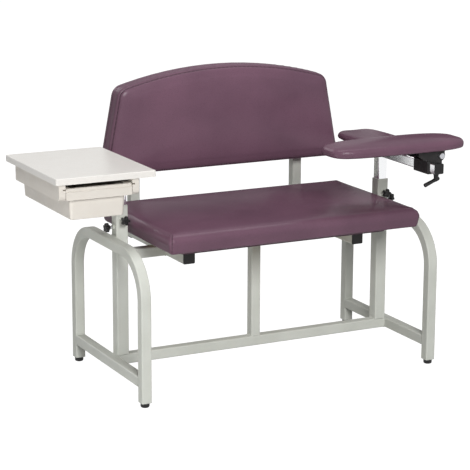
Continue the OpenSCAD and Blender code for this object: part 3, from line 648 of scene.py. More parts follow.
class Finish(ABC):
    """A finish that many pieces share, known by its material's name."""

    name: str
    _made: dict[str, bpy.types.Material] = {}

    @abstractmethod
    def wire(self, shader: Shader) -> None:
        """Wires the finish into a new material."""

    def material(self) -> bpy.types.Material:
        """The finish's material, made on first use.

        Returns:
            The material.
        """
        if self.name not in Finish._made:
            shader = Shader(self.name)
            self.wire(shader)
            Finish._made[self.name] = shader.material
        return Finish._made[self.name]

    def dress(self, piece: bpy.types.Object) -> None:
        """Gives a piece this finish alone.

        Args:
            piece: The piece.
        """
        piece.data.materials.clear()
        piece.data.materials.append(self.material())
        for face in piece.data.polygons:
            face.material_index = 0


@dataclass(frozen=True)
class PowderCoat(Finish):
    """Light warm grey coat baked on the frame, with the faint pebble that such a coat has."""

    name: str = "powder_coat"
    tone: Colour = srgb(201, 203, 196)
    shade: Colour = srgb(192, 194, 186)
    cloud_scale: float = 9.0
    gloss_scale: float = 70.0
    gloss: tuple[float, float] = (0.30, 0.42)
    pebble_scale: float = 620.0
    pebble_depth: float = 0.00035

    def wire(self, shader: Shader) -> None:
        """Wires clouded colour, uneven gloss and the pebble."""
        cloud = shader.noise(self.cloud_scale, detail=4.0)
        shader.colour(cloud, self.shade, self.tone, 0.3, 0.7)
        shader.gloss(shader.noise(self.gloss_scale), *self.gloss)
        pebble = shader.noise(self.pebble_scale, detail=2.0)
        shader.bump(pebble, self.pebble_depth, strength=0.35)
        shader.set(Specular_IOR_Level=0.0, Coat_Weight=0.4, Coat_Roughness=0.34)


@dataclass(frozen=True)
class PolishedTube(Finish):
    """Bright plated tube with faint lines from its polishing."""

    name: str = "polished_post"
    tone: Colour = srgb(232, 233, 234)
    stroke: Point = (900.0, 900.0, 30.0)
    gloss: tuple[float, float] = (0.09, 0.15)

    def wire(self, shader: Shader) -> None:
        """Wires a mirror-like metal with fine strokes."""
        strokes = shader.noise(1.0, detail=2.0, place=shader.stretched(self.stroke))
        shader.set(Base_Color=self.tone, Metallic=1.0)
        shader.gloss(strokes, *self.gloss)


@dataclass(frozen=True)
class ZincPlate(Finish):
    """Zinc-plated steel of screws, bolts and brackets."""

    name: str = "zinc_plate"
    tone: Colour = srgb(198, 199, 202)
    shade: Colour = srgb(168, 170, 176)
    spangle_scale: float = 420.0
    gloss_scale: float = 260.0
    gloss: tuple[float, float] = (0.24, 0.40)

    def wire(self, shader: Shader) -> None:
        """Wires a spangled dull metal."""
        shader.colour(shader.cells(self.spangle_scale), self.shade, self.tone, 0.1, 0.8)
        shader.gloss(shader.noise(self.gloss_scale), *self.gloss)
        shader.set(Metallic=1.0)


@dataclass(frozen=True)
class SatinBlack(Finish):
    """Black plastic or coated metal with a fine grain."""

    name: str = "moulded_black"
    tone: Colour = srgb(22, 21, 22)
    shade: Colour = srgb(15, 14, 15)
    cloud_scale: float = 40.0
    gloss_scale: float = 300.0
    gloss: tuple[float, float] = (0.34, 0.50)
    grain_scale: float = 2600.0
    grain_detail: float = 2.0
    grain_depth: float = 0.00008
    grain_strength: float = 0.5

    def wire(self, shader: Shader) -> None:
        """Wires a satin black with its grain."""
        shader.colour(shader.noise(self.cloud_scale), self.shade, self.tone)
        shader.gloss(shader.noise(self.gloss_scale), *self.gloss)
        grain = shader.noise(self.grain_scale, self.grain_detail)
        shader.bump(grain, self.grain_depth, self.grain_strength)
        shader.set(Specular_IOR_Level=0.3)


@dataclass(frozen=True)
class PlumVinyl(Finish):
    """Plum upholstery vinyl: a pressed leather grain, a soft gloss, slightly clouded colour and
    painted shade along the seams.
    """

    name: str = "plum_vinyl"
    tone: Colour = srgb(109, 79, 95)
    shade: Colour = srgb(99, 72, 87)
    pore: Colour = srgb(82, 58, 71)
    # Painted shade: dark colour laid along the seams, where their grooves are in shade.
    painted_seam_shade: Colour = srgb(38, 25, 31)
    painted_seam_shade_share: float = 0.8
    cloud_scale: float = 5.0
    warp_scale: float = 260.0
    warp: Point = (0.0016, 0.0016, 0.0016)
    fine_scale: float = 2400.0
    fine_share: float = 0.25
    gloss_scale: float = 14.0
    gloss: tuple[float, float] = (0.31, 0.39)
    grain_scale: float = 560.0
    grain_depth: float = 0.00022

    def warped(self, shader: Shader) -> bpy.types.NodeSocket:
        """Object coordinates shaken a little, so that the grain's cells are uneven.

        Args:
            shader: Shader of the material.

        Returns:
            The coordinates.
        """
        cloud = shader.tree.nodes.new("ShaderNodeTexNoise")
        cloud.inputs["Scale"].default_value = self.warp_scale
        shader.link(shader.place, cloud.inputs["Vector"])
        warp = shader.tree.nodes.new("ShaderNodeVectorMath")
        warp.operation = "MULTIPLY_ADD"
        warp.inputs[1].default_value = self.warp
        shader.link(cloud.outputs["Color"], warp.inputs[0])
        shader.link(shader.place, warp.inputs[2])
        return warp.outputs["Vector"]

    def wire(self, shader: Shader) -> None:
        """Wires the pressed grain into colour, gloss and relief, and darkens the colour along the
        seams as painted shade.
        """
        pebbles = shader.cells(self.grain_scale, "SMOOTH_F1", self.warped(shader))
        cloud = shader.ramp(shader.noise(self.cloud_scale), ((0.35, self.shade), (0.65, self.tone)))
        pores = shader.span(pebbles, 0.0, 0.35, start=0.35, end=0.75)
        # Painted shade: the seams' attribute darkens the vinyl's colour along each seam groove.
        seam = shader.tree.nodes.new("ShaderNodeAttribute")
        seam.attribute_name = "painted_seam_shade"
        painted_seam_shades = shader.span(seam.outputs["Fac"], 0.0, self.painted_seam_shade_share, start=0.0, end=1.0)
        pressed = shader.blend(pores, cloud, self.pore)
        shader.feed("Base Color", shader.blend(painted_seam_shades, pressed, self.painted_seam_shade))
        shader.gloss(shader.noise(self.gloss_scale, detail=4.0), *self.gloss)
        domes = shader.span(pebbles, 1.0, 0.0, start=0.0, end=0.8)
        fine = shader.noise(self.fine_scale, detail=2.0)
        shader.bump(shader.sum(domes, fine, self.fine_share), self.grain_depth, strength=0.45)
        relief = shader.surface.inputs["Normal"].links[0].from_socket
        shader.feed("Coat Normal", relief)
        shader.set(Specular_IOR_Level=0.0, Coat_Weight=0.33, Coat_Roughness=0.26)


@dataclass(frozen=True)
class SewingThread(Finish):
    """Plum thread of the seams, a little lighter than the vinyl."""

    name: str = "sewing_thread"
    tone: Colour = srgb(108, 78, 95)
    shade: Colour = srgb(80, 55, 70)
    twist_scale: float = 2600.0
    twist_depth: float = 0.0001

    def wire(self, shader: Shader) -> None:
        """Wires a twisted matte thread."""
        twist = shader.noise(self.twist_scale, detail=1.0)
        shader.colour(twist, self.shade, self.tone, 0.4, 0.6)
        shader.bump(twist, self.twist_depth, strength=0.6)
        shader.set(Roughness=0.75)


@dataclass(frozen=True)
class Plywood(Finish):
    """Birch plywood of the boards, with grain along X and thin plies at the edges."""

    name: str = "birch_plywood"
    tone: Colour = srgb(196, 164, 118)
    shade: Colour = srgb(164, 128, 84)
    glue: Colour = srgb(112, 82, 52)
    stroke: Point = (9.0, 150.0, 150.0)
    ply_scale: float = 100.0
    ply_waver: float = 0.4
    gloss: tuple[float, float] = (0.55, 0.75)
    grain_depth: float = 0.0002

    def wire(self, shader: Shader) -> None:
        """Wires the grain and the plies."""
        grain = shader.noise(1.0, 6.0, 0.6, shader.stretched(self.stroke))
        face = shader.ramp(grain, ((0.35, self.shade), (0.65, self.tone)))
        plies = shader.tree.nodes.new("ShaderNodeTexWave")
        plies.bands_direction = "Z"
        plies.inputs["Scale"].default_value = self.ply_scale
        plies.inputs["Distortion"].default_value = self.ply_waver
        shader.link(shader.place, plies.inputs["Vector"])
        glued = shader.span(plies.outputs["Fac"], 0.0, 0.6, start=0.75, end=1.0)
        shader.feed("Base Color", shader.blend(glued, face, self.glue))
        shader.gloss(grain, *self.gloss)
        shader.bump(grain, self.grain_depth, strength=0.4)


@dataclass(frozen=True)
class TrayLaminate(Finish):
    """Pale grey laminate of the tray top, finely speckled and softly glossy."""

    name: str = "tray_laminate"
    tone: Colour = srgb(222, 219, 214)
    speck: Colour = srgb(208, 205, 199)
    speck_scale: float = 900.0
    gloss_scale: float = 30.0
    gloss: tuple[float, float] = (0.3, 0.4)
    press_scale: float = 1800.0
    press_depth: float = 0.00006

    def wire(self, shader: Shader) -> None:
        """Wires the fine speckle and the pressed texture."""
        specks = shader.noise(self.speck_scale, 2.0, 0.7)
        shader.colour(specks, self.speck, self.tone, 0.3, 0.46)
        shader.gloss(shader.noise(self.gloss_scale, detail=4.0), *self.gloss)
        shader.bump(shader.noise(self.press_scale, detail=2.0), self.press_depth, strength=0.4)
        shader.set(Specular_IOR_Level=0.35)


@dataclass(frozen=True)
class DrawerPlastic(Finish):
    """Warm grey moulded plastic of the drawer and its runners, with a hair-cell grain."""

    name: str = "drawer_plastic"
    tone: Colour = srgb(210, 205, 197)
    shade: Colour = srgb(207, 201, 192)
    cloud_scale: float = 12.0
    gloss_scale: float = 90.0
    gloss: tuple[float, float] = (0.40, 0.52)
    grain_scale: float = 900.0
    grain_depth: float = 0.00014

    def wire(self, shader: Shader) -> None:
        """Wires the hair-cell grain."""
        shader.colour(shader.noise(self.cloud_scale), self.shade, self.tone, 0.3, 0.7)
        shader.gloss(shader.noise(self.gloss_scale), *self.gloss)
        shader.bump(shader.cells(self.grain_scale, "SMOOTH_F1"), self.grain_depth, strength=0.4)


PAINT = PowderCoat()
CHROME = PolishedTube()
CHROME_BAR = PolishedTube("polished_bar", stroke=(900.0, 30.0, 900.0))
ZINC = ZincPlate()
BLACK = SatinBlack()
CASTING = SatinBlack(
    "black_casting", srgb(32, 30, 31), srgb(23, 22, 23), cloud_scale=60.0, gloss_scale=200.0,
    gloss=(0.40, 0.58), grain_scale=1500.0, grain_detail=3.0, grain_depth=0.00016,
    grain_strength=0.6)
VINYL = PlumVinyl()
THREAD = SewingThread()
PLY = Plywood()
LAMINATE = TrayLaminate()
PLASTIC = DrawerPlastic()

NODE_FINISH: dict[str, Finish] = {
    "left_post": CHROME, "right_post": CHROME, "arm_bar": CHROME_BAR, "tray_plate": ZINC,
    "tray_screws": ZINC, "seat_screws": ZINC, "back_screws": ZINC, "elbow_screws": ZINC,
    "flip_screws": ZINC, "hinge_bolt": ZINC, "hinge_nut": ZINC, "hinge_bracket": ZINC,
    "clamp_screw": ZINC, "clamp_block": CASTING, "clamp_lever": BLACK, "floor_feet": BLACK,
    "seat_rail_plugs": BLACK, "back_post_plugs": BLACK, "arm_bar_plugs": BLACK,
    "seat_board": PLY, "elbow_board": PLY, "flip_board": PLY, "back_board": VINYL,
    "seat_cushion": VINYL, "back_cushion": VINYL, "elbow_pad": VINYL, "flip_pad": VINYL,
    "tray_top": LAMINATE, "left_runner": PLASTIC, "right_runner": PLASTIC, "drawer_bin": PLASTIC,
}


# How pieces are fitted to the chair


def fit(piece: bpy.types.Object, body: str, finish: Finish, slot: str, *nodes: str
        ) -> bpy.types.Object:
    """Dresses a finished piece and fits it to a body of the chair.

    Args:
        piece: The finished piece.
        body: Body that it rides on.
        finish: Its finish.
        slot: Material slot of the record; not used.
        nodes: CAD nodes that it stands for.

    Returns:
        The piece.
    """
    finish.dress(piece)
    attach(piece, body)
    if nodes:
        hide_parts(*nodes)
    LOG.info("%s rides on %s, %d faces", piece.name, body, len(piece.data.polygons))
    return piece


def turned(name: str, foot: Vector, axis: Vector,
           rings: Sequence[tuple[float, float | Callable[[float], float]]], corners: int
           ) -> bpy.types.Object:
    """Grows a turned or lobed piece ring by ring from a filled circle.

    Args:
        name: Name of the piece.
        foot: Where its axis starts.
        axis: Direction of its axis.
        rings: Height of each ring, and its radius or the radius by angle.
        corners: Points around each ring.

    Returns:
        The closed piece.
    """
    Bench.clear()
    bpy.ops.mesh.primitive_circle_add(vertices=corners, radius=1.0, fill_type="NGON")
    piece = Bench.named(name)
    Bench.edit(piece)
    for index, (height, radius) in enumerate(rings):
        if index:
            bpy.ops.mesh.extrude_region_move(TRANSFORM_OT_translate={"value": (0, 0, 1.0)})
        mesh = bmesh.from_edit_mesh(piece.data)
        for point in mesh.verts:
            if point.select:
                angle = math.atan2(point.co.y, point.co.x)
                reach = radius(angle) if callable(radius) else radius
                point.co = (reach * math.cos(angle), reach * math.sin(angle), height)
        bmesh.update_edit_mesh(piece.data)
    bpy.ops.mesh.select_all(action="SELECT")
    bpy.ops.mesh.fill_holes(sides=0)
    Bench.done(piece)
    piece.rotation_mode = "QUATERNION"
    piece.rotation_quaternion = Vector((0, 0, 1)).rotation_difference(axis.normalized())
    piece.location = foot
    return Bench.settle(piece)


def softened_node(node: str, body: str, finish: Finish, slot: str, width: float, segments: int
                  ) -> bpy.types.Object:
    """Stands a copy of a CAD node, its edges rounded as moulded or worked ones are, in its place.

    Args:
        node: Name of the CAD node.
        body: Body that it rides on.
        finish: Its finish.
        slot: Material slot of the record.
        width: Width of the rounding.
        segments: Steps in the rounding.

    Returns:
        The piece.
    """
    piece = Bench.merged_copy(node, node + "_finished")
    Bench.soften(piece, width, segments)
    return fit(piece, body, finish, slot, node)


# Upholstery


def covered_board(node: str, body: str) -> bpy.types.Object:
    """Draws the vinyl over a board's edge and leaves its underside bare.

    Args:
        node: CAD node of the board.
        body: Body that it rides on.

    Returns:
        The board.
    """
    piece = Bench.smooth(Bench.merged_copy(node, node + "_covered"))
    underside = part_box(node)[0].z + SKIM
    fit(piece, body, VINYL, "plywood", node)
    piece.data.materials.append(PLY.material())
    for face in piece.data.polygons:
        if face.normal.z < -FACING and face.center.z < underside:
            face.material_index = 1
    return piece


def arc(middle: tuple[float, float], radius: float, start: float, end: float, steps: int
        ) -> list[tuple[float, float]]:
    """Points of an arc, both ends included.

    Args:
        middle: Middle of the arc.
        radius: Its radius.
        start: First angle in degrees.
        end: Last angle in degrees.
        steps: Steps between its ends.

    Returns:
        The points.
    """
    angles = [math.radians(start + (end - start) * i / steps) for i in range(steps + 1)]
    return [(middle[0] + radius * math.cos(a), middle[1] + radius * math.sin(a)) for a in angles]


class Outline(ABC):
    """Closed outline of a pad, drawn flat about the pad's own middle."""

    @abstractmethod
    def points(self, inset: float) -> np.ndarray:
        """The outline drawn in by a distance, always with as many points."""


@dataclass
class RoundedOblong(Outline):
    """Oblong with round corners."""

    length: float
    width: float
    corner: float
    steps: int = 10

    def points(self, inset: float) -> np.ndarray:
        """The outline drawn in by a distance.

        Args:
            inset: The distance.

        Returns:
            Its points, from the right side round.
        """
        radius = max(self.corner - inset, self.corner / 20)
        x, y = self.length / 2 - inset - radius, self.width / 2 - inset - radius
        corners = ((x, y, 0), (-x, y, 90), (-x, -y, 180), (x, -y, 270))
        return np.array([p for cx, cy, a in corners
                         for p in arc((cx, cy), radius, a, a + 90, self.steps)])


@dataclass
class SquaredOval(Outline):
    """Oval that is squarer the larger its power."""

    length: float
    width: float
    power: float
    count: int = 96

    def points(self, inset: float) -> np.ndarray:
        """The outline drawn in by a distance.

        Args:
            inset: The distance.

        Returns:
            Its points, from the right end round.
        """
        angle = np.arange(self.count) * 2 * math.pi / self.count
        reach = 2 / self.power
        across = np.sign(np.cos(angle)) * np.abs(np.cos(angle)) ** reach
        along = np.sign(np.sin(angle)) * np.abs(np.sin(angle)) ** reach
        return np.stack([(self.length / 2 - inset) * across, (self.width / 2 - inset) * along], 1)


@dataclass
class ArchedBack(Outline):
    """Outline of the back: leaning sides, round shoulders, an arched top, Y up from the floor."""

    low_width: float = 0.836
    high_width: float = 0.712
    low: float = 0.594
    high: float = 0.920
    arch: float = 1.253
    shoulder: float = 0.040
    corner: float = 0.034
    steps: int = 10
    arch_steps: int = 30

    def points(self, inset: float) -> np.ndarray:
        """The outline drawn in by a distance.

        Args:
            inset: The distance.

        Returns:
            Its points, from the lower right corner round.
        """
        lean = math.atan((self.low_width - self.high_width) / 2 / (self.high - self.low))
        degrees = math.degrees(lean)
        foot = np.array([self.low_width / 2, self.low])
        up = np.array([-math.sin(lean), math.cos(lean)])
        inward = np.array([-math.cos(lean), -math.sin(lean)])
        heart = np.array([0.0, self.high - self.arch])
        start = foot + self.shoulder * inward - heart
        reach = -start @ up + math.sqrt((start @ up) ** 2 - start @ start
                                        + (self.arch - self.shoulder) ** 2)
        shoulder = foot + self.shoulder * inward + reach * up
        rise = math.degrees(math.atan2(shoulder[1] - heart[1], shoulder[0]))
        low = (foot + self.corner * inward
               + self.corner * (1 + math.sin(lean)) / math.cos(lean) * up)
        round_top, round_low = self.shoulder - inset, self.corner - inset
        return np.array(
            arc(tuple(low), round_low, -90, degrees, self.steps)
            + arc(tuple(shoulder), round_top, degrees, rise, self.steps)
            + arc(tuple(heart), self.arch - inset, rise + 1, 179 - rise, self.arch_steps)
            + arc((-shoulder[0], shoulder[1]), round_top, 180 - rise, 180 - degrees, self.steps)
            + arc((-low[0], low[1]), round_low, 180 - degrees, 270, self.steps))


@dataclass
class Seam:
    """A sewn line that draws the cover in and paints shade along it, with the stitches along it."""

    line: np.ndarray
    depth: float = 0.0018
    width: float = 0.0035
    stitch: float = 0.0045
    fold: float = 0.0
    fold_way: Point = (0.0, 0.0, 0.0)
    fold_reach: float = 0.012
    # Width of the band of painted shade along the seam.
    painted_seam_shade: float = 0.0016
    thread: float = 0.0005
    flatness: float = 0.8
    sides: int = 6
    stitch_rings: Sequence[tuple[float, float]] = (
        (-0.42, 0.35), (-0.32, 1.0), (0.32, 1.0), (0.42, 0.35))

    def draw_in(self, pad: bpy.types.Object) -> None:
        """Presses the seam's channel into a pad and paints shade along it.

        Args:
            pad: The pad.
        """
        skin = Bench.skin_of(pad)
        tree = KDTree(len(self.line))
        for index, point in enumerate(self.line):
            tree.insert(skin.find_nearest(Vector(point))[0], index)
        tree.balance()
        points, normals = Bench.points_of(pad), Bench.normals_of(pad)
        found = [tree.find(p) for p in points]
        near = np.array([f[2] for f in found])
        ahead = (points - np.array([f[0] for f in found])) @ np.array(self.fold_way)
        push = self.depth * np.exp(-((near / self.width) ** 2))
        push -= np.where(ahead > 0, self.fold * np.exp(-near / self.fold_reach), 0.0)
        Bench.put_points(pad, points - normals * push[:, None])
        # Painted shade: a dark band along the seam, kept in an attribute that the vinyl's colour
        # reads.
        painted_seam_shade = pad.data.attributes.get("painted_seam_shade") or pad.data.attributes.new(
            "painted_seam_shade", "FLOAT", "POINT")
        shade = np.zeros(len(points), np.float32)
        painted_seam_shade.data.foreach_get("value", shade)
        line = np.exp(-((near / self.painted_seam_shade) ** 2)).astype(np.float32)
        painted_seam_shade.data.foreach_set("value", np.maximum(shade, line))

    def sew(self, name: str, pad: bpy.types.Object) -> bpy.types.Object:
        """Lays stitches on a pad along the seam.

        Args:
            name: Name of the thread's piece.
            pad: The pad.

        Returns:
            The thread.
        """
        skin = Bench.skin_of(pad)
        sides = self.sides
        around = [2 * math.pi * k / sides for k in range(sides)]
        points: list[Vector] = []
        faces: list[list[int]] = []
        for index in range(int(walked(self.line)[-1] / self.stitch)):
            middle = (index + 0.5) * self.stitch
            spot, ahead = (Vector(p) for p in on_line(
                self.line, np.array([middle, middle + self.stitch / 2])))
            place, normal, _, _ = skin.find_nearest(spot)
            along = ahead - spot
            along = (along - along.dot(normal) * normal).normalized()
            aside = normal.cross(along)
            base = len(points)
            for reach, share in self.stitch_rings:
                for angle in around:
                    out = math.cos(angle) * aside + self.flatness * math.sin(angle) * normal
                    points.append(place + reach * self.stitch * along
                                  + self.thread * share * out)
            last = base + sides * (len(self.stitch_rings) - 1)
            for ring in range(base, last, sides):
                for k in range(sides):
                    a, b = ring + k, ring + (k + 1) % sides
                    faces.append([a, b, b + sides, a + sides])
            faces.append([base + k for k in reversed(range(sides))])
            faces.append([last + k for k in range(sides)])
        return Bench.from_arrays(name, np.array(points), faces)


@dataclass
class Padding:
    """A foam form in its cover: lofted, swelled by cloth simulation and sewn."""

    name: str
    outline: Outline
    thick: float
    low_round: float
    top_round: float
    tuck: float
    waist: float
    crown: float
    place: Callable[[np.ndarray], np.ndarray]
    middle: tuple[float, float] = (0.0, 0.0)
    voxel: float = 0.006
    pressure: float = 4.0
    most: float = 0.004
    slack: float = 0.0006
    held_height: float = 0.008
    tautness: int = 60
    frames: int = 20
    quality: int = 5
    own_share: float = 0.4
    low_angles: Sequence[float] = (0, 22, 45, 67, 90)
    wall_shares: Sequence[float] = (0.2, 0.4, 0.6, 0.8)
    side_angles: Sequence[float] = (0, 12, 24, 36, 48, 60, 70, 80, 90)
    crown_shares: Sequence[float] = (0.97, 0.92, 0.84, 0.72, 0.56, 0.38, 0.18)

    def profile(self) -> list[tuple[float, float]]:
        """Inset and height of each ring up the side.

        Returns:
            The pairs.
        """
        low = [(self.tuck + self.low_round * (1 - math.sin(math.radians(a))),
                self.low_round * (1 - math.cos(math.radians(a)))) for a in self.low_angles]
        wall = self.thick - self.low_round - self.top_round
        side = [(self.tuck * (1 - s) + self.waist * 4 * s * (1 - s), self.low_round + s * wall)
                for s in self.wall_shares]
        top = [(self.top_round * (1 - math.cos(math.radians(a))),
                self.thick - self.top_round + self.top_round * math.sin(math.radians(a)))
               for a in self.side_angles]
        return low + side + top

    def ring(self, inset: float, height: float) -> np.ndarray:
        """One ring of the form in the row frame."""
        return self.place(raised(self.outline.points(inset + self.slack), height))

    def loft(self) -> bpy.types.Object:
        """Makes the foam form of its rings.

        Returns:
            The closed form.
        """
        rings = [self.ring(inset, height) for inset, height in self.profile()]
        rim = self.outline.points(self.top_round + self.slack)
        for share in self.crown_shares:
            flat = np.array(self.middle) + share * (rim - np.array(self.middle))
            height = self.thick + self.crown * (1 - share * share)
            rings.append(self.place(raised(flat, height)))
        count = len(rings[0])
        tops = np.array([[*self.middle, self.thick + self.crown], [*self.middle, 0.0]])
        points = np.vstack([*rings, self.place(tops)])
        faces = [[j * count + i, j * count + (i + 1) % count, (j + 1) * count + (i + 1) % count,
                  (j + 1) * count + i] for j in range(len(rings) - 1) for i in range(count)]
        last, top = (len(rings) - 1) * count, len(rings) * count
        faces += [[last + i, last + (i + 1) % count, top] for i in range(count)]
        faces += [[(i + 1) % count, i, top + 1] for i in range(count)]
        form = Bench.from_arrays(self.name, points, faces)
        Bench.edit(form)
        return Bench.done(form)

    def swell(self, form: bpy.types.Object) -> None:
        """Blows the cover up over the foam with a short cloth simulation, held at its board.

        Args:
            form: The remeshed form.
        """
        start = Bench.points_of(form)
        heights = self.height_of(start)
        held = form.vertex_groups.new(name="held")
        for index in np.nonzero(heights < self.held_height)[0]:
            held.add([int(index)], 1.0, "REPLACE")
        Bench.hold(form)
        cloth = form.modifiers.new("Cover", "CLOTH")
        cloth.settings.use_pressure = True
        cloth.settings.uniform_pressure_force = self.pressure
        cloth.settings.effector_weights.gravity = 0.0
        cloth.settings.vertex_group_mass = held.name
        cloth.settings.quality = self.quality
        cloth.collision_settings.use_collision = False
        cloth.point_cache.frame_start = 1
        cloth.point_cache.frame_end = self.frames
        scene = bpy.context.scene
        for number in range(1, self.frames + 1):
            scene.frame_set(number)
        shown = form.evaluated_get(bpy.context.evaluated_depsgraph_get())
        end = np.zeros(len(start) * 3, np.float64)
        shown.data.vertices.foreach_get("co", end)
        moved = self.evened(form, end.reshape(-1, 3) - start, heights < self.held_height)
        length = np.linalg.norm(moved, axis=1, keepdims=True)
        limit = self.most * np.tanh(length / self.most) / np.maximum(length, 1e-9)
        form.modifiers.remove(cloth)
        form.vertex_groups.remove(held)
        Bench.put_points(form, start + moved * limit)
        scene.frame_set(1)
        LOG.info("%s swelled by %.1f mm at most", form.name, 1000 * float((length * limit).max()))

    def evened(self, form: bpy.types.Object, moved: np.ndarray, held: np.ndarray) -> np.ndarray:
        """Spreads a cover's movement over its neighbours, as a taut cover does.

        Args:
            form: The remeshed form.
            moved: Movement of each point.
            held: Which points stay at the board.

        Returns:
            The evened movement.
        """
        ends = np.zeros(len(form.data.edges) * 2, np.int32)
        form.data.edges.foreach_get("vertices", ends)
        first, second = ends.reshape(-1, 2).T
        count = np.bincount(ends, minlength=len(moved))[:, None]
        for _ in range(self.tautness):
            total = np.zeros_like(moved)
            np.add.at(total, first, moved[second])
            np.add.at(total, second, moved[first])
            moved = self.own_share * moved + (1 - self.own_share) * total / count
            moved[held] = 0.0
        return moved

    def height_of(self, points: np.ndarray) -> np.ndarray:
        """Height of points above the pad's board.

        Args:
            points: Points in the row frame.

        Returns:
            Their heights.
        """
        base, top = self.place(np.array([[0.0, 0.0, 0.0], [0.0, 0.0, 1.0]]))
        return (points - base) @ (top - base)

    def build(self, seams: Sequence[Seam] = ()) -> bpy.types.Object:
        """Makes the finished pad.

        Args:
            seams: Seams that draw its cover in.

        Returns:
            The pad.
        """
        form = self.loft()
        Bench.apply(form, "REMESH", mode="VOXEL", voxel_size=self.voxel)
        self.swell(form)
        Bench.apply(form, "SMOOTH", factor=0.5, iterations=2)
        Bench.apply(form, "SUBSURF", levels=1, render_levels=1)
        for seam in seams:
            seam.draw_in(form)
        Bench.hold(form)
        bpy.ops.object.shade_smooth()
        return form


@dataclass
class SeatUpholstery:
    """Thick seat cushion with its cover folded and sewn at the corners."""

    length: float = 0.860
    width: float = 0.516
    thick: float = 0.060
    shift: float = 0.004
    corner: float = 0.016
    low_round: float = 0.020
    top_round: float = 0.026
    tuck: float = 0.004
    crown: float = 0.008
    fold_angle: float = 24.0
    fold_end: float = 0.002

    def middle(self) -> Vector:
        """Middle of the cushion's underside."""
        low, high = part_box("seat_cushion")
        return Vector(((low.x + high.x) / 2 + self.shift, (low.y + high.y) / 2, low.z))

    def corner_line(self, sign_x: int, sign_y: int) -> np.ndarray:
        """Line of the fold down one corner.

        Args:
            sign_x: Which end of the seat.
            sign_y: Which side of the seat, -1 for the front.

        Returns:
            Points from the top edge down.
        """
        heart = self.middle()
        angle = math.radians(self.fold_angle)
        out = np.array([sign_x * math.sin(angle), sign_y * math.cos(angle)])
        pin = np.array([heart.x + sign_x * (self.length / 2 - self.corner),
                        heart.y + sign_y * (self.width / 2 - self.corner)])
        edge = self.thick - self.top_round
        down = [(self.top_round * (1 - math.sin(a)), edge + self.top_round * math.cos(a))
                for a in np.linspace(0, math.pi / 2, 12)]
        down += [(0.0, edge * (1 - share) + self.fold_end) for share in np.linspace(0.1, 1, 10)]
        return np.array([[*(pin + out * (self.corner - inset)), heart.z + height]
                         for inset, height in down])

    def build(self) -> list[bpy.types.Object]:
        """Makes the cushion and its folds.

        Returns:
            The pieces.
        """
        heart = self.middle()

        def place(flat: np.ndarray) -> np.ndarray:
            """Lays the flat form on the seat board."""
            return flat + np.array(heart)

        padding = Padding("seat_upholstery", RoundedOblong(self.length, self.width, self.corner),
                          self.thick, self.low_round, self.top_round, self.tuck, waist=0.0,
                          crown=self.crown, place=place)
        seams = [Seam(self.corner_line(x, y), depth=0.0020, width=0.0026, fold=0.0018,
                      fold_way=(-float(x), 0.0, 0.0)) for x in (-1, 1) for y in (-1, 1)]
        cushion = padding.build(seams)
        fit(cushion, "frame", VINYL, "plum_vinyl", "seat_cushion")
        return [cushion, covered_board("seat_board", "frame")]


@dataclass
class BackUpholstery:
    """Padded back with a sewn seam between its front and its side."""

    outline: ArchedBack = field(default_factory=ArchedBack)
    thick: float = 0.048
    low_round: float = 0.003
    top_round: float = 0.020
    tuck: float = 0.0015
    waist: float = 0.0015
    crown: float = 0.009
    seam_angle: float = 44.0
    seam_step: float = 0.003
    thread_beside: Sequence[float] = (0.0035, 0.0045)
    board_edge: float = 0.003

    def place(self, flat: np.ndarray) -> np.ndarray:
        """Stands flat points up against the back board."""
        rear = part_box("back_board")[0].y
        return np.column_stack([chair_middle().x + flat[:, 0], rear - flat[:, 2], flat[:, 1]])

    def line(self, inset: float, height: float) -> np.ndarray:
        """Line round the cushion at an inset and a height."""
        return paced(self.place(raised(self.outline.points(inset), height)), self.seam_step)

    def build(self) -> list[bpy.types.Object]:
        """Makes the cushion, its seam and the covered board.

        Returns:
            The pieces.
        """
        heart = (self.outline.low + self.outline.high) / 2
        padding = Padding("back_upholstery", self.outline, self.thick, self.low_round,
                          self.top_round, self.tuck, self.waist, self.crown, self.place,
                          middle=(0.0, heart), voxel=0.005, slack=-0.0025)
        angle = math.radians(self.seam_angle)
        inset = self.top_round * (1 - math.cos(angle))
        height = self.thick - self.top_round + self.top_round * math.sin(angle)
        seam = Seam(self.line(inset, height), depth=0.0030, width=0.0024, painted_seam_shade=0.0019)
        cushion = padding.build([seam])
        fit(cushion, "frame", VINYL, "plum_vinyl", "back_cushion")
        outwards, rearwards = self.thread_beside
        stitched = Seam(self.line(inset - outwards, height - rearwards))
        thread = stitched.sew("back_seam_thread", cushion)
        fit(thread, "frame", THREAD, "plum_vinyl")
        board = softened_node("back_board", "frame", VINYL, "vinyl_covered_board",
                              self.board_edge, 3)
        return [cushion, thread, board]


@dataclass
class ArmPad:
    """A padded cushion of the right arm."""

    name: str
    node: str
    body: str
    outline: SquaredOval
    thick: float
    top_round: float
    crown: float
    along_y: bool = False
    lift: float = 0.0015
    low_round: float = 0.006
    tuck: float = 0.001
    waist: float = 0.0004

    def build(self) -> bpy.types.Object:
        """Makes the cushion.

        Returns:
            The cushion.
        """
        low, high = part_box(self.node)
        heart = np.array([(low.x + high.x) / 2, (low.y + high.y) / 2, low.z + self.lift])

        def place(flat: np.ndarray) -> np.ndarray:
            """Lays the flat form on its board."""
            if self.along_y:
                flat = np.column_stack([-flat[:, 1], flat[:, 0], flat[:, 2]])
            return flat + heart

        padding = Padding(self.name, self.outline, self.thick - self.lift, self.low_round,
                          self.top_round, self.tuck, self.waist, self.crown, place,
                          voxel=0.004, most=0.002, slack=0.0002)
        cushion = padding.build()
        return fit(cushion, self.body, VINYL, "plum_vinyl", self.node)


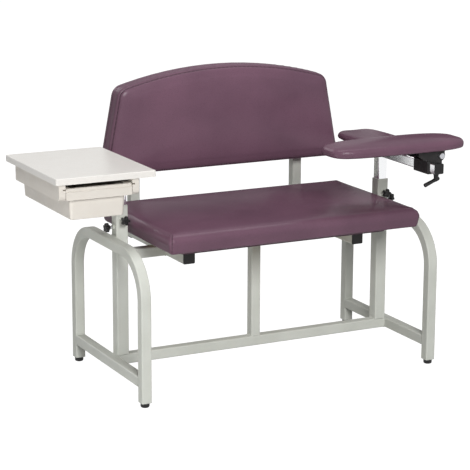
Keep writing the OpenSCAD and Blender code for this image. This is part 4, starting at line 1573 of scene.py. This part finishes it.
@dataclass
class ArmUpholstery:
    """The elbow rest and the flip pad, each on its board."""

    pads: Sequence[ArmPad] = (
        ArmPad("elbow_upholstery", "elbow_pad", "right_arm", SquaredOval(0.336, 0.154, 4.5),
               thick=0.0247, top_round=0.015, crown=0.0025, along_y=True),
        ArmPad("flip_upholstery", "flip_pad", "flip_arm", SquaredOval(0.468, 0.159, 3.8),
               thick=0.0315, top_round=0.016, crown=0.010),
    )

    def build(self) -> list[bpy.types.Object]:
        """Makes both pads and their boards.

        Returns:
            The pieces.
        """
        cushions = [pad.build() for pad in self.pads]
        boards = [covered_board(pad.node.replace("pad", "board"), pad.body) for pad in self.pads]
        return cushions + boards


# Hardware


@dataclass
class StarKnob:
    """Black star knob with soft lobes, a dished face and a boss towards the sleeve.

    Its rings count from the grip's lower face. The grip's radii are shares of its lobes'.
    """

    radius: float = 0.0145
    valley: float = 0.62
    lobes: int = 5
    thick: float = 0.013
    out: float = 0.0245
    boss: Rings = ((-0.0045, 0.0068), (-0.0035, 0.0074), (-0.0006, 0.0074))
    grip: Rings = ((0.0, 0.90), (0.0016, 1.0), (0.0094, 1.0), (0.0116, 0.93), (0.0128, 0.76))
    dish: Rings = ((0.013, 0.0062), (0.0118, 0.0052), (0.0118, 0.0024))
    corners: int = 80
    shading: float = 50.0

    def lobe(self, share: float) -> Callable[[float], float]:
        """Radius of a lobed ring at each angle.

        Args:
            share: Share of the full radius.

        Returns:
            The radius by angle.
        """
        def reach(angle: float) -> float:
            """Radius at one angle."""
            wave = 0.5 + 0.5 * math.cos(self.lobes * angle)
            return share * self.radius * (self.valley + (1 - self.valley) * wave ** 0.8)
        return reach

    def build(self, side: Side, face: SleeveFace) -> bpy.types.Object:
        """Makes one knob.

        Args:
            side: Side of the chair.
            face: Face of the sleeve that it stands on.

        Returns:
            The knob.
        """
        label = f"{side.value}_{face.value}"
        pivot, axis = joint_named(f"{label}_knob_turn")
        foot = pivot - axis * self.out
        head = self.out - self.thick / 2
        rings = [(head + height, radius) for height, radius in self.boss]
        rings += [(head + height, self.lobe(share)) for height, share in self.grip]
        rings += [(head + height, radius) for height, radius in self.dish]
        piece = turned(f"{label}_star_knob", foot, axis, rings, self.corners)
        Bench.smooth(piece, self.shading)
        return fit(piece, f"{label}_clamp", BLACK, "black_plastic", f"{label}_knob")


@dataclass
class ClampLever:
    """Adjustable clamp lever: a tapered hub with a button and a grip that swings round it.

    The rings of a head count from where its part starts, those of a tail from where it ends.
    """

    drop: float = 0.016
    hub_head: Rings = ((0.0, 0.0078), (0.0012, 0.009), (0.007, 0.009), (0.010, 0.0076))
    hub_tail: Rings = ((-0.008, 0.0068), (-0.003, 0.0068), (-0.0012, 0.0060), (-0.0004, 0.0044),
                       (-0.0004, 0.0034), (-0.0016, 0.003))
    grip_head: Rings = ((-0.0085, 0.0028), (-0.0076, 0.0052), (-0.004, 0.0066), (0.004, 0.0066),
                        (0.014, 0.0056))
    grip_tail: Rings = ((-0.009, 0.0062), (-0.002, 0.0064), (0.0, 0.0054), (0.001, 0.003))
    grip_root: Point = (0.003, 0.0, 0.0068)
    grip_tip: Point = (0.0040, 0.0, 0.0055)
    corners: int = 40
    shading: float = 40.0

    def part(self, name: str, start: Vector, end: Vector, head: Rings, tail: Rings
             ) -> bpy.types.Object:
        """Turns the hub or the grip.

        Args:
            name: Name of the part.
            start: Where its axis starts.
            end: Where its axis ends.
            head: Rings by their height from the start.
            tail: Rings by their height from the end.

        Returns:
            The part.
        """
        length = (end - start).length
        rings = [*head, *((length + height, radius) for height, radius in tail)]
        return Bench.smooth(turned(name, start, end - start, rings, self.corners), self.shading)

    def build(self) -> bpy.types.Object:
        """Makes the lever.

        Returns:
            The lever.
        """
        pivot, _ = joint_named("clamp_turn")
        low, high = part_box("clamp_lever")
        foot = Vector((pivot.x, pivot.y, low.z + self.drop))
        hub = self.part("clamp_hub", Vector((pivot.x, pivot.y, high.z)), foot,
                        self.hub_head, self.hub_tail)
        tip = Vector((low.x, pivot.y, low.z))
        grip = self.part("clamp_grip", foot + Vector(self.grip_root), tip + Vector(self.grip_tip),
                         self.grip_head, self.grip_tail)
        lever = Bench.join("clamp_handle_grip", [hub, grip])
        return fit(lever, "clamp_handle", BLACK, "black_casting", "clamp_lever")


@dataclass
class Casework:
    """Rigid pieces whose CAD shape is right, given the rounded edges that catch the light."""

    rows: Sequence[tuple[str, str, Finish, str, float, int]] = (
        ("tray_top", "left_arm", LAMINATE, "tray_laminate", 0.0014, 3),
        ("left_runner", "left_arm", PLASTIC, "drawer_plastic", 0.0012, 2),
        ("right_runner", "left_arm", PLASTIC, "drawer_plastic", 0.0012, 2),
        ("clamp_block", "carriage", CASTING, "black_aluminium", 0.0007, 2),
        ("hinge_bracket", "flip_arm", CASTING, "zinc_steel", 0.0005, 2),
        ("arm_bar_plugs", "right_arm", BLACK, "black_plastic", 0.0010, 2),
        ("seat_rail_plugs", "frame", BLACK, "black_plastic", 0.0010, 2),
        ("back_post_plugs", "frame", BLACK, "black_plastic", 0.0010, 2),
        ("hinge_bolt", "carriage", ZINC, "zinc_steel", 0.0004, 2),
        ("weld_nuts", "frame", PAINT, "frame_paint", 0.0004, 2),
    )

    def build(self) -> list[bpy.types.Object]:
        """Makes each finished copy.

        Returns:
            The pieces.
        """
        return [softened_node(*row) for row in self.rows]


@dataclass
class DrawerFront:
    """Drawer with its band, stepped along the top, and flanges that reach the runners' ends."""

    ledge_share: float = 0.30
    ledge_depth: float = 0.0030
    ledge_drop: float = 0.0020
    flange_reach: float = 0.009
    flange_gap: float = 0.0006
    band_depth: float = 0.0035
    edge: float = 0.0010

    def build(self) -> bpy.types.Object:
        """Makes the drawer from a copy of its CAD node.

        Returns:
            The drawer.
        """
        low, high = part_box("drawer_bin")
        left, right = low.x + self.flange_reach, high.x - self.flange_reach

        def is_flange(face: bmesh.types.BMFace) -> bool:
            """Whether a face is the front end of a flange."""
            return face.normal.y < -FACING and not left <= face.calc_center_median().x <= right

        piece = Bench.merged_copy("drawer_bin", "drawer_finished")
        ends = Bench.pick_faces(piece, is_flange)
        if ends:
            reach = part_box("left_runner")[0].y + self.flange_gap - ends[0].y
            bpy.ops.mesh.extrude_region_move(TRANSFORM_OT_translate={"value": (0.0, reach, 0.0)})
        Bench.done(piece)
        band = [v.co.z for v in piece.data.vertices if v.co.y < low.y + SKIM]
        step = max(band) - self.ledge_share * (max(band) - min(band))
        Bench.edit(piece)
        for height in (step, step + self.ledge_drop):
            bpy.ops.mesh.select_all(action="SELECT")
            bpy.ops.mesh.bisect(plane_co=(0.0, 0.0, height), plane_no=(0.0, 0.0, 1.0))
        mesh = bmesh.from_edit_mesh(piece.data)
        for point in mesh.verts:
            if point.co.z > step + self.ledge_drop / 2 and point.co.y < low.y + self.band_depth:
                point.co.y += self.ledge_depth
        bmesh.update_edit_mesh(piece.data)
        Bench.done(piece)
        Bench.soften(piece, self.edge, 2)
        return fit(piece, "drawer", PLASTIC, "drawer_plastic", "drawer_bin")


@dataclass
class WeldBeads:
    """Small weld beads where the frame's tubes meet."""

    radius: float = 0.0021
    tube: float = 0.03175
    rail_height: float = 0.0508
    corner: float = 0.004
    end_gap: float = 0.003
    hoop_gap: float = 0.004
    top_gap: float = 0.001
    rail_gap: float = 0.002
    ripple: float = 0.0022
    thinnest: float = 0.86
    swell: float = 0.2
    waver: float = 0.1
    shading: float = 60.0
    seed: int = 7
    lines: list[np.ndarray] = field(default_factory=list)

    def straight(self, start: Point, end: Point) -> None:
        """Adds a bead from one point to another.

        Args:
            start: Where it starts.
            end: Where it ends.
        """
        a, b = np.array(start), np.array(end)
        count = max(4, int(np.linalg.norm(b - a) / self.ripple))
        self.lines.append(a + (b - a) * np.linspace(0, 1, count)[:, None])

    def ring(self, centre: Point, normal: int, width: float, height: float) -> None:
        """Adds a bead round a tube that meets a face.

        Args:
            centre: Middle of the tube's end.
            normal: Axis along the tube: 0, 1 or 2.
            width: Tube's size along the first axis across it.
            height: Tube's size along the second axis across it.
        """
        flat = paced(RoundedOblong(width, height, self.corner, 5).points(0.0), self.ripple)
        line = np.insert(flat, normal, 0.0, axis=1) + np.array(centre)
        self.lines.append(np.vstack([line, line[:1]]))

    def side_lines(self, sign: int) -> None:
        """Draws the beads on one side of the chair.

        Args:
            sign: -1 for the left side, 1 for the right one.
        """
        mid, tube, gap = chair_middle(), self.tube, self.end_gap
        hoop_low, hoop_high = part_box("right_leg_hoop")
        rail_low, rail_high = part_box("right_side_rail")
        long_low, long_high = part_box("long_rail")
        sleeve_low, sleeve_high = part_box("right_sleeve")
        seat_low, seat_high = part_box("right_seat_rail")
        cross_low, cross_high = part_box("right_cross_tube")

        def flip(x: float) -> float:
            """Mirrors an X of the right side to this side of the chair."""
            return mid.x + sign * (x - mid.x)

        hoop, sleeve = flip(hoop_low.x), flip(sleeve_low.x)
        for y in (rail_low.y, rail_high.y):
            for z in (rail_low.z, rail_high.z):
                self.straight((flip(hoop_low.x + self.hoop_gap), y, z),
                              (flip(hoop_high.x - self.hoop_gap), y, z))
        self.ring((flip(long_high.x), mid.y, (long_low.z + long_high.z) / 2), 0, tube, tube)
        reach = tube / 2 - gap
        self.straight((sleeve, mid.y - reach, sleeve_low.z), (sleeve, mid.y + reach, sleeve_low.z))
        reach = (sleeve_high.x - sleeve_low.x) / 2
        for y in (mid.y - reach, mid.y + reach):
            self.straight((hoop, y, hoop_high.z - tube + gap), (hoop, y, hoop_high.z - gap))
        top = hoop_high.z - self.top_gap
        self.straight((hoop, mid.y - reach, top), (hoop, mid.y + reach, top))
        cross_z = (cross_low.z + cross_high.z) / 2
        for x in (cross_low.x, cross_high.x, seat_low.x):
            self.ring((flip(x), mid.y, cross_z), 0, tube, tube)
        rail_end = (flip((seat_low.x + seat_high.x) / 2), seat_high.y,
                    (seat_low.z + seat_high.z) / 2)
        self.ring(rail_end, 1, tube - self.rail_gap, self.rail_height)

    def post_lines(self) -> None:
        """Draws the beads at both ends of the middle post."""
        low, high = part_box("center_post")
        mid, reach = chair_middle(), self.tube / 2 - self.end_gap
        for x in (low.x, high.x):
            for z in (low.z, high.z):
                self.straight((x, mid.y - reach, z), (x, mid.y + reach, z))

    def lay(self, line: np.ndarray, rng: np.random.Generator) -> bpy.types.Object:
        """Lays one rippled bead.

        Args:
            line: Its points.
            rng: Source of its unevenness.

        Returns:
            The bead.
        """
        curve = bpy.data.curves.new("bead", "CURVE")
        curve.dimensions = "3D"
        curve.bevel_depth = self.radius
        curve.bevel_resolution = 2
        curve.use_fill_caps = True
        spline = curve.splines.new("POLY")
        spline.points.add(len(line) - 1)
        for k, (point, place) in enumerate(zip(spline.points, line)):
            point.co = (*place, 1.0)
            uneven = self.swell * (k % 2) + self.waver * float(rng.random())
            point.radius = self.thinnest + uneven
        Bench.hold(Bench.shown("bead", curve))
        bpy.ops.object.convert(target="MESH")
        return bpy.context.object

    def build(self) -> bpy.types.Object:
        """Lays every bead.

        Returns:
            The beads.
        """
        for sign in (-1, 1):
            self.side_lines(sign)
        self.post_lines()
        rng = np.random.default_rng(self.seed)
        beads = Bench.join("weld_beads", [self.lay(line, rng) for line in self.lines])
        Bench.smooth(beads, self.shading)
        return fit(beads, "frame", PAINT, "frame_paint")


# Studio


@dataclass
class PhotoCamera:
    """Camera at the photograph's place, measured from the middle between the side frames."""

    place: Point = (-2.5505, -4.8673, 1.7194)
    yaw: float = 27.033
    pitch: float = 13.384
    roll: float = 0.278
    lens: float = 138.96
    sensor: float = 36.0
    reach: float = 60.0

    def build(self) -> bpy.types.Object:
        """Makes the camera the scene's own.

        Returns:
            The camera.
        """
        yaw, pitch, roll = (math.radians(a) for a in (self.yaw, self.pitch, self.roll))
        ahead = Vector((math.sin(yaw) * math.cos(pitch), math.cos(yaw) * math.cos(pitch),
                        -math.sin(pitch)))
        level = Vector((math.cos(yaw), -math.sin(yaw), 0.0))
        above = level.cross(ahead)
        right = math.cos(roll) * level + math.sin(roll) * above
        up = -math.sin(roll) * level + math.cos(roll) * above
        camera = bpy.data.cameras.new("photo_camera")
        camera.lens = self.lens
        camera.sensor_width = self.sensor
        camera.clip_end = self.reach
        holder = Bench.shown("photo_camera", camera)
        turn = Matrix((right, up, -ahead)).transposed()
        place = Matrix.Translation(chair_middle() + Vector(self.place))
        holder.matrix_world = place @ turn.to_4x4()
        bpy.context.scene.camera = holder
        return holder


@dataclass
class Lamp:
    """One soft panel of light."""

    name: str
    place: Point
    aim: Point
    size: float
    watts: float
    depth: float = 0.0

    def build(self) -> None:
        """Hangs the panel and turns it to what it lights."""
        light = bpy.data.lights.new(self.name, "AREA")
        light.shape = "RECTANGLE"
        light.size = self.size
        light.size_y = self.depth or self.size
        light.energy = self.watts
        holder = Bench.shown(self.name, light)
        start = chair_middle() + Vector(self.place)
        holder.location = start
        way = chair_middle() + Vector(self.aim) - start
        holder.rotation_mode = "QUATERNION"
        holder.rotation_quaternion = way.to_track_quat("-Z", "Y")


def directly_seen(tree: bpy.types.NodeTree) -> bpy.types.NodeSocket:
    """Value that is 1 for camera, glossy and transmission rays and 0 for the others.

    Args:
        tree: Node tree that asks.

    Returns:
        The value.
    """
    rays = tree.nodes.new("ShaderNodeLightPath")
    seen = rays.outputs["Is Camera Ray"]
    for kind in ("Is Glossy Ray", "Is Transmission Ray"):
        either = tree.nodes.new("ShaderNodeMath")
        either.operation = "MAXIMUM"
        tree.links.new(seen, either.inputs[0])
        tree.links.new(rays.outputs[kind], either.inputs[1])
        seen = either.outputs["Value"]
    return seen


def mixed(tree: bpy.types.NodeTree, kind: str, share: bpy.types.NodeSocket,
          first: bpy.types.NodeSocket, second: bpy.types.NodeSocket) -> None:
    """Sends a mix of two shaders to a tree's output.

    Args:
        tree: The node tree.
        kind: Kind of its output node.
        share: Share of the second shader.
        first: First shader.
        second: Second shader.
    """
    mix = tree.nodes.new("ShaderNodeMixShader")
    for source, target in zip((share, first, second), mix.inputs):
        tree.links.new(source, target)
    tree.links.new(mix.outputs["Shader"], tree.nodes.new(kind).inputs["Surface"])


@dataclass
class Studio:
    """Pale floor, white surroundings, dark cards and soft lamps."""

    floor_size: float = 60.0
    floor_tone: Colour = (0.5, 0.5, 0.5, 1.0)
    card_tone: Colour = (0.03, 0.025, 0.028, 1.0)
    card_roughness: float = 0.9
    ambient: float = 0.11
    shadow_share: float = 0.3
    glow: float = 1.46
    cards: Sequence[tuple[Point, Point]] = (
        ((-0.50, 1.3, 0.0), (0.75, 1.31, 0.75)),
        ((0.75, 1.3, 0.0), (1.15, 1.31, 0.92)),
        ((1.28, 1.3, 0.7), (2.5, 1.31, 1.8)),
    )
    lamps: Sequence[Lamp] = (
        Lamp("front_panel", (-1.2, -5.2, 3.2), (0.0, 0.0, 0.45), 2.2, 306.0),
        Lamp("left_panel", (-1.4, -0.45, 0.2), (-0.5, 0.0, 0.25), 0.6, 3.9),
        Lamp("top_strip", (0.1, -0.35, 2.7), (0.1, 0.0, 0.6), 2.4, 20.0, 0.5),
        Lamp("rear_panel", (-1.5, 3.4, 3.2), (0.0, 0.0, 0.45), 2.0, 50.0),
    )

    def floor(self) -> bpy.types.Object:
        """Lays the floor, nearly white to the camera but with the chair's shadow.

        Returns:
            The floor.
        """
        Bench.clear()
        bpy.ops.mesh.primitive_grid_add(x_subdivisions=8, y_subdivisions=8, size=self.floor_size)
        floor = Bench.named("studio_floor")
        material = bpy.data.materials.new("studio_floor")
        material.use_nodes = True
        tree = material.node_tree
        tree.nodes.clear()
        matte = tree.nodes.new("ShaderNodeBsdfDiffuse")
        matte.inputs["Color"].default_value = self.floor_tone
        glow = tree.nodes.new("ShaderNodeEmission")
        glow.inputs["Strength"].default_value = self.glow
        share = tree.nodes.new("ShaderNodeMath")
        share.operation = "MULTIPLY"
        share.inputs[1].default_value = 1.0 - self.shadow_share
        tree.links.new(directly_seen(tree), share.inputs[0])
        mixed(tree, "ShaderNodeOutputMaterial", share.outputs["Value"],
              matte.outputs["BSDF"], glow.outputs["Emission"])
        floor.data.materials.append(material)
        return floor

    def card(self, number: int, low: Point, high: Point) -> bpy.types.Object:
        """Stands a dark card behind the chair, which only glossy surfaces see.

        Args:
            number: Number of the card.
            low: Its lower corner from the chair's middle.
            high: Its upper corner.

        Returns:
            The card.
        """
        middle = chair_middle()
        card = Bench.block(f"studio_card_{number}", middle + Vector(low), middle + Vector(high))
        material = bpy.data.materials.new(card.name)
        material.use_nodes = True
        surface = material.node_tree.nodes["Principled BSDF"]
        surface.inputs["Base Color"].default_value = self.card_tone
        surface.inputs["Roughness"].default_value = self.card_roughness
        card.data.materials.append(material)
        card.visible_camera = card.visible_diffuse = card.visible_shadow = False
        card.visible_transmission = False
        return card

    def surroundings(self) -> None:
        """Gives the world its soft light, white where the camera or a bright surface sees it."""
        world = bpy.data.worlds.new("studio_world")
        bpy.context.scene.world = world
        world.use_nodes = True
        tree = world.node_tree
        tree.nodes.clear()
        soft = tree.nodes.new("ShaderNodeBackground")
        soft.inputs["Strength"].default_value = self.ambient
        white = tree.nodes.new("ShaderNodeBackground")
        for shader in (soft, white):
            shader.inputs["Color"].default_value = WHITE
        mixed(tree, "ShaderNodeOutputWorld", directly_seen(tree),
              soft.outputs["Background"], white.outputs["Background"])

    def build(self) -> None:
        """Sets up the whole studio."""
        self.floor()
        for number, (low, high) in enumerate(self.cards, 1):
            self.card(number, low, high)
        self.surroundings()
        for lamp in self.lamps:
            lamp.build()
        bpy.context.scene.view_settings.view_transform = "Standard"


def dress_nodes() -> None:
    """Gives every CAD node that still shows its finish."""
    for name, node in frame["nodes"].items():
        finish = NODE_FINISH.get(name, ZINC if name.endswith("_stud") else PAINT)
        node.data.materials.clear()
        node.data.materials.append(finish.material())


def main() -> None:
    """Builds the chair's pieces in order."""
    logging.basicConfig(level=logging.INFO, format="%(name)s: %(message)s")
    bpy.ops.object.select_all(action="DESELECT")
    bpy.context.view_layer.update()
    PhotoCamera().build()
    Studio().build()
    dress_nodes()
    SeatUpholstery().build()
    BackUpholstery().build()
    ArmUpholstery().build()
    for side in Side:
        for face in SleeveFace:
            StarKnob().build(side, face)
    ClampLever().build()
    Casework().build()
    DrawerFront().build()
    WeldBeads().build()


if __name__ == "__main__":
    main()
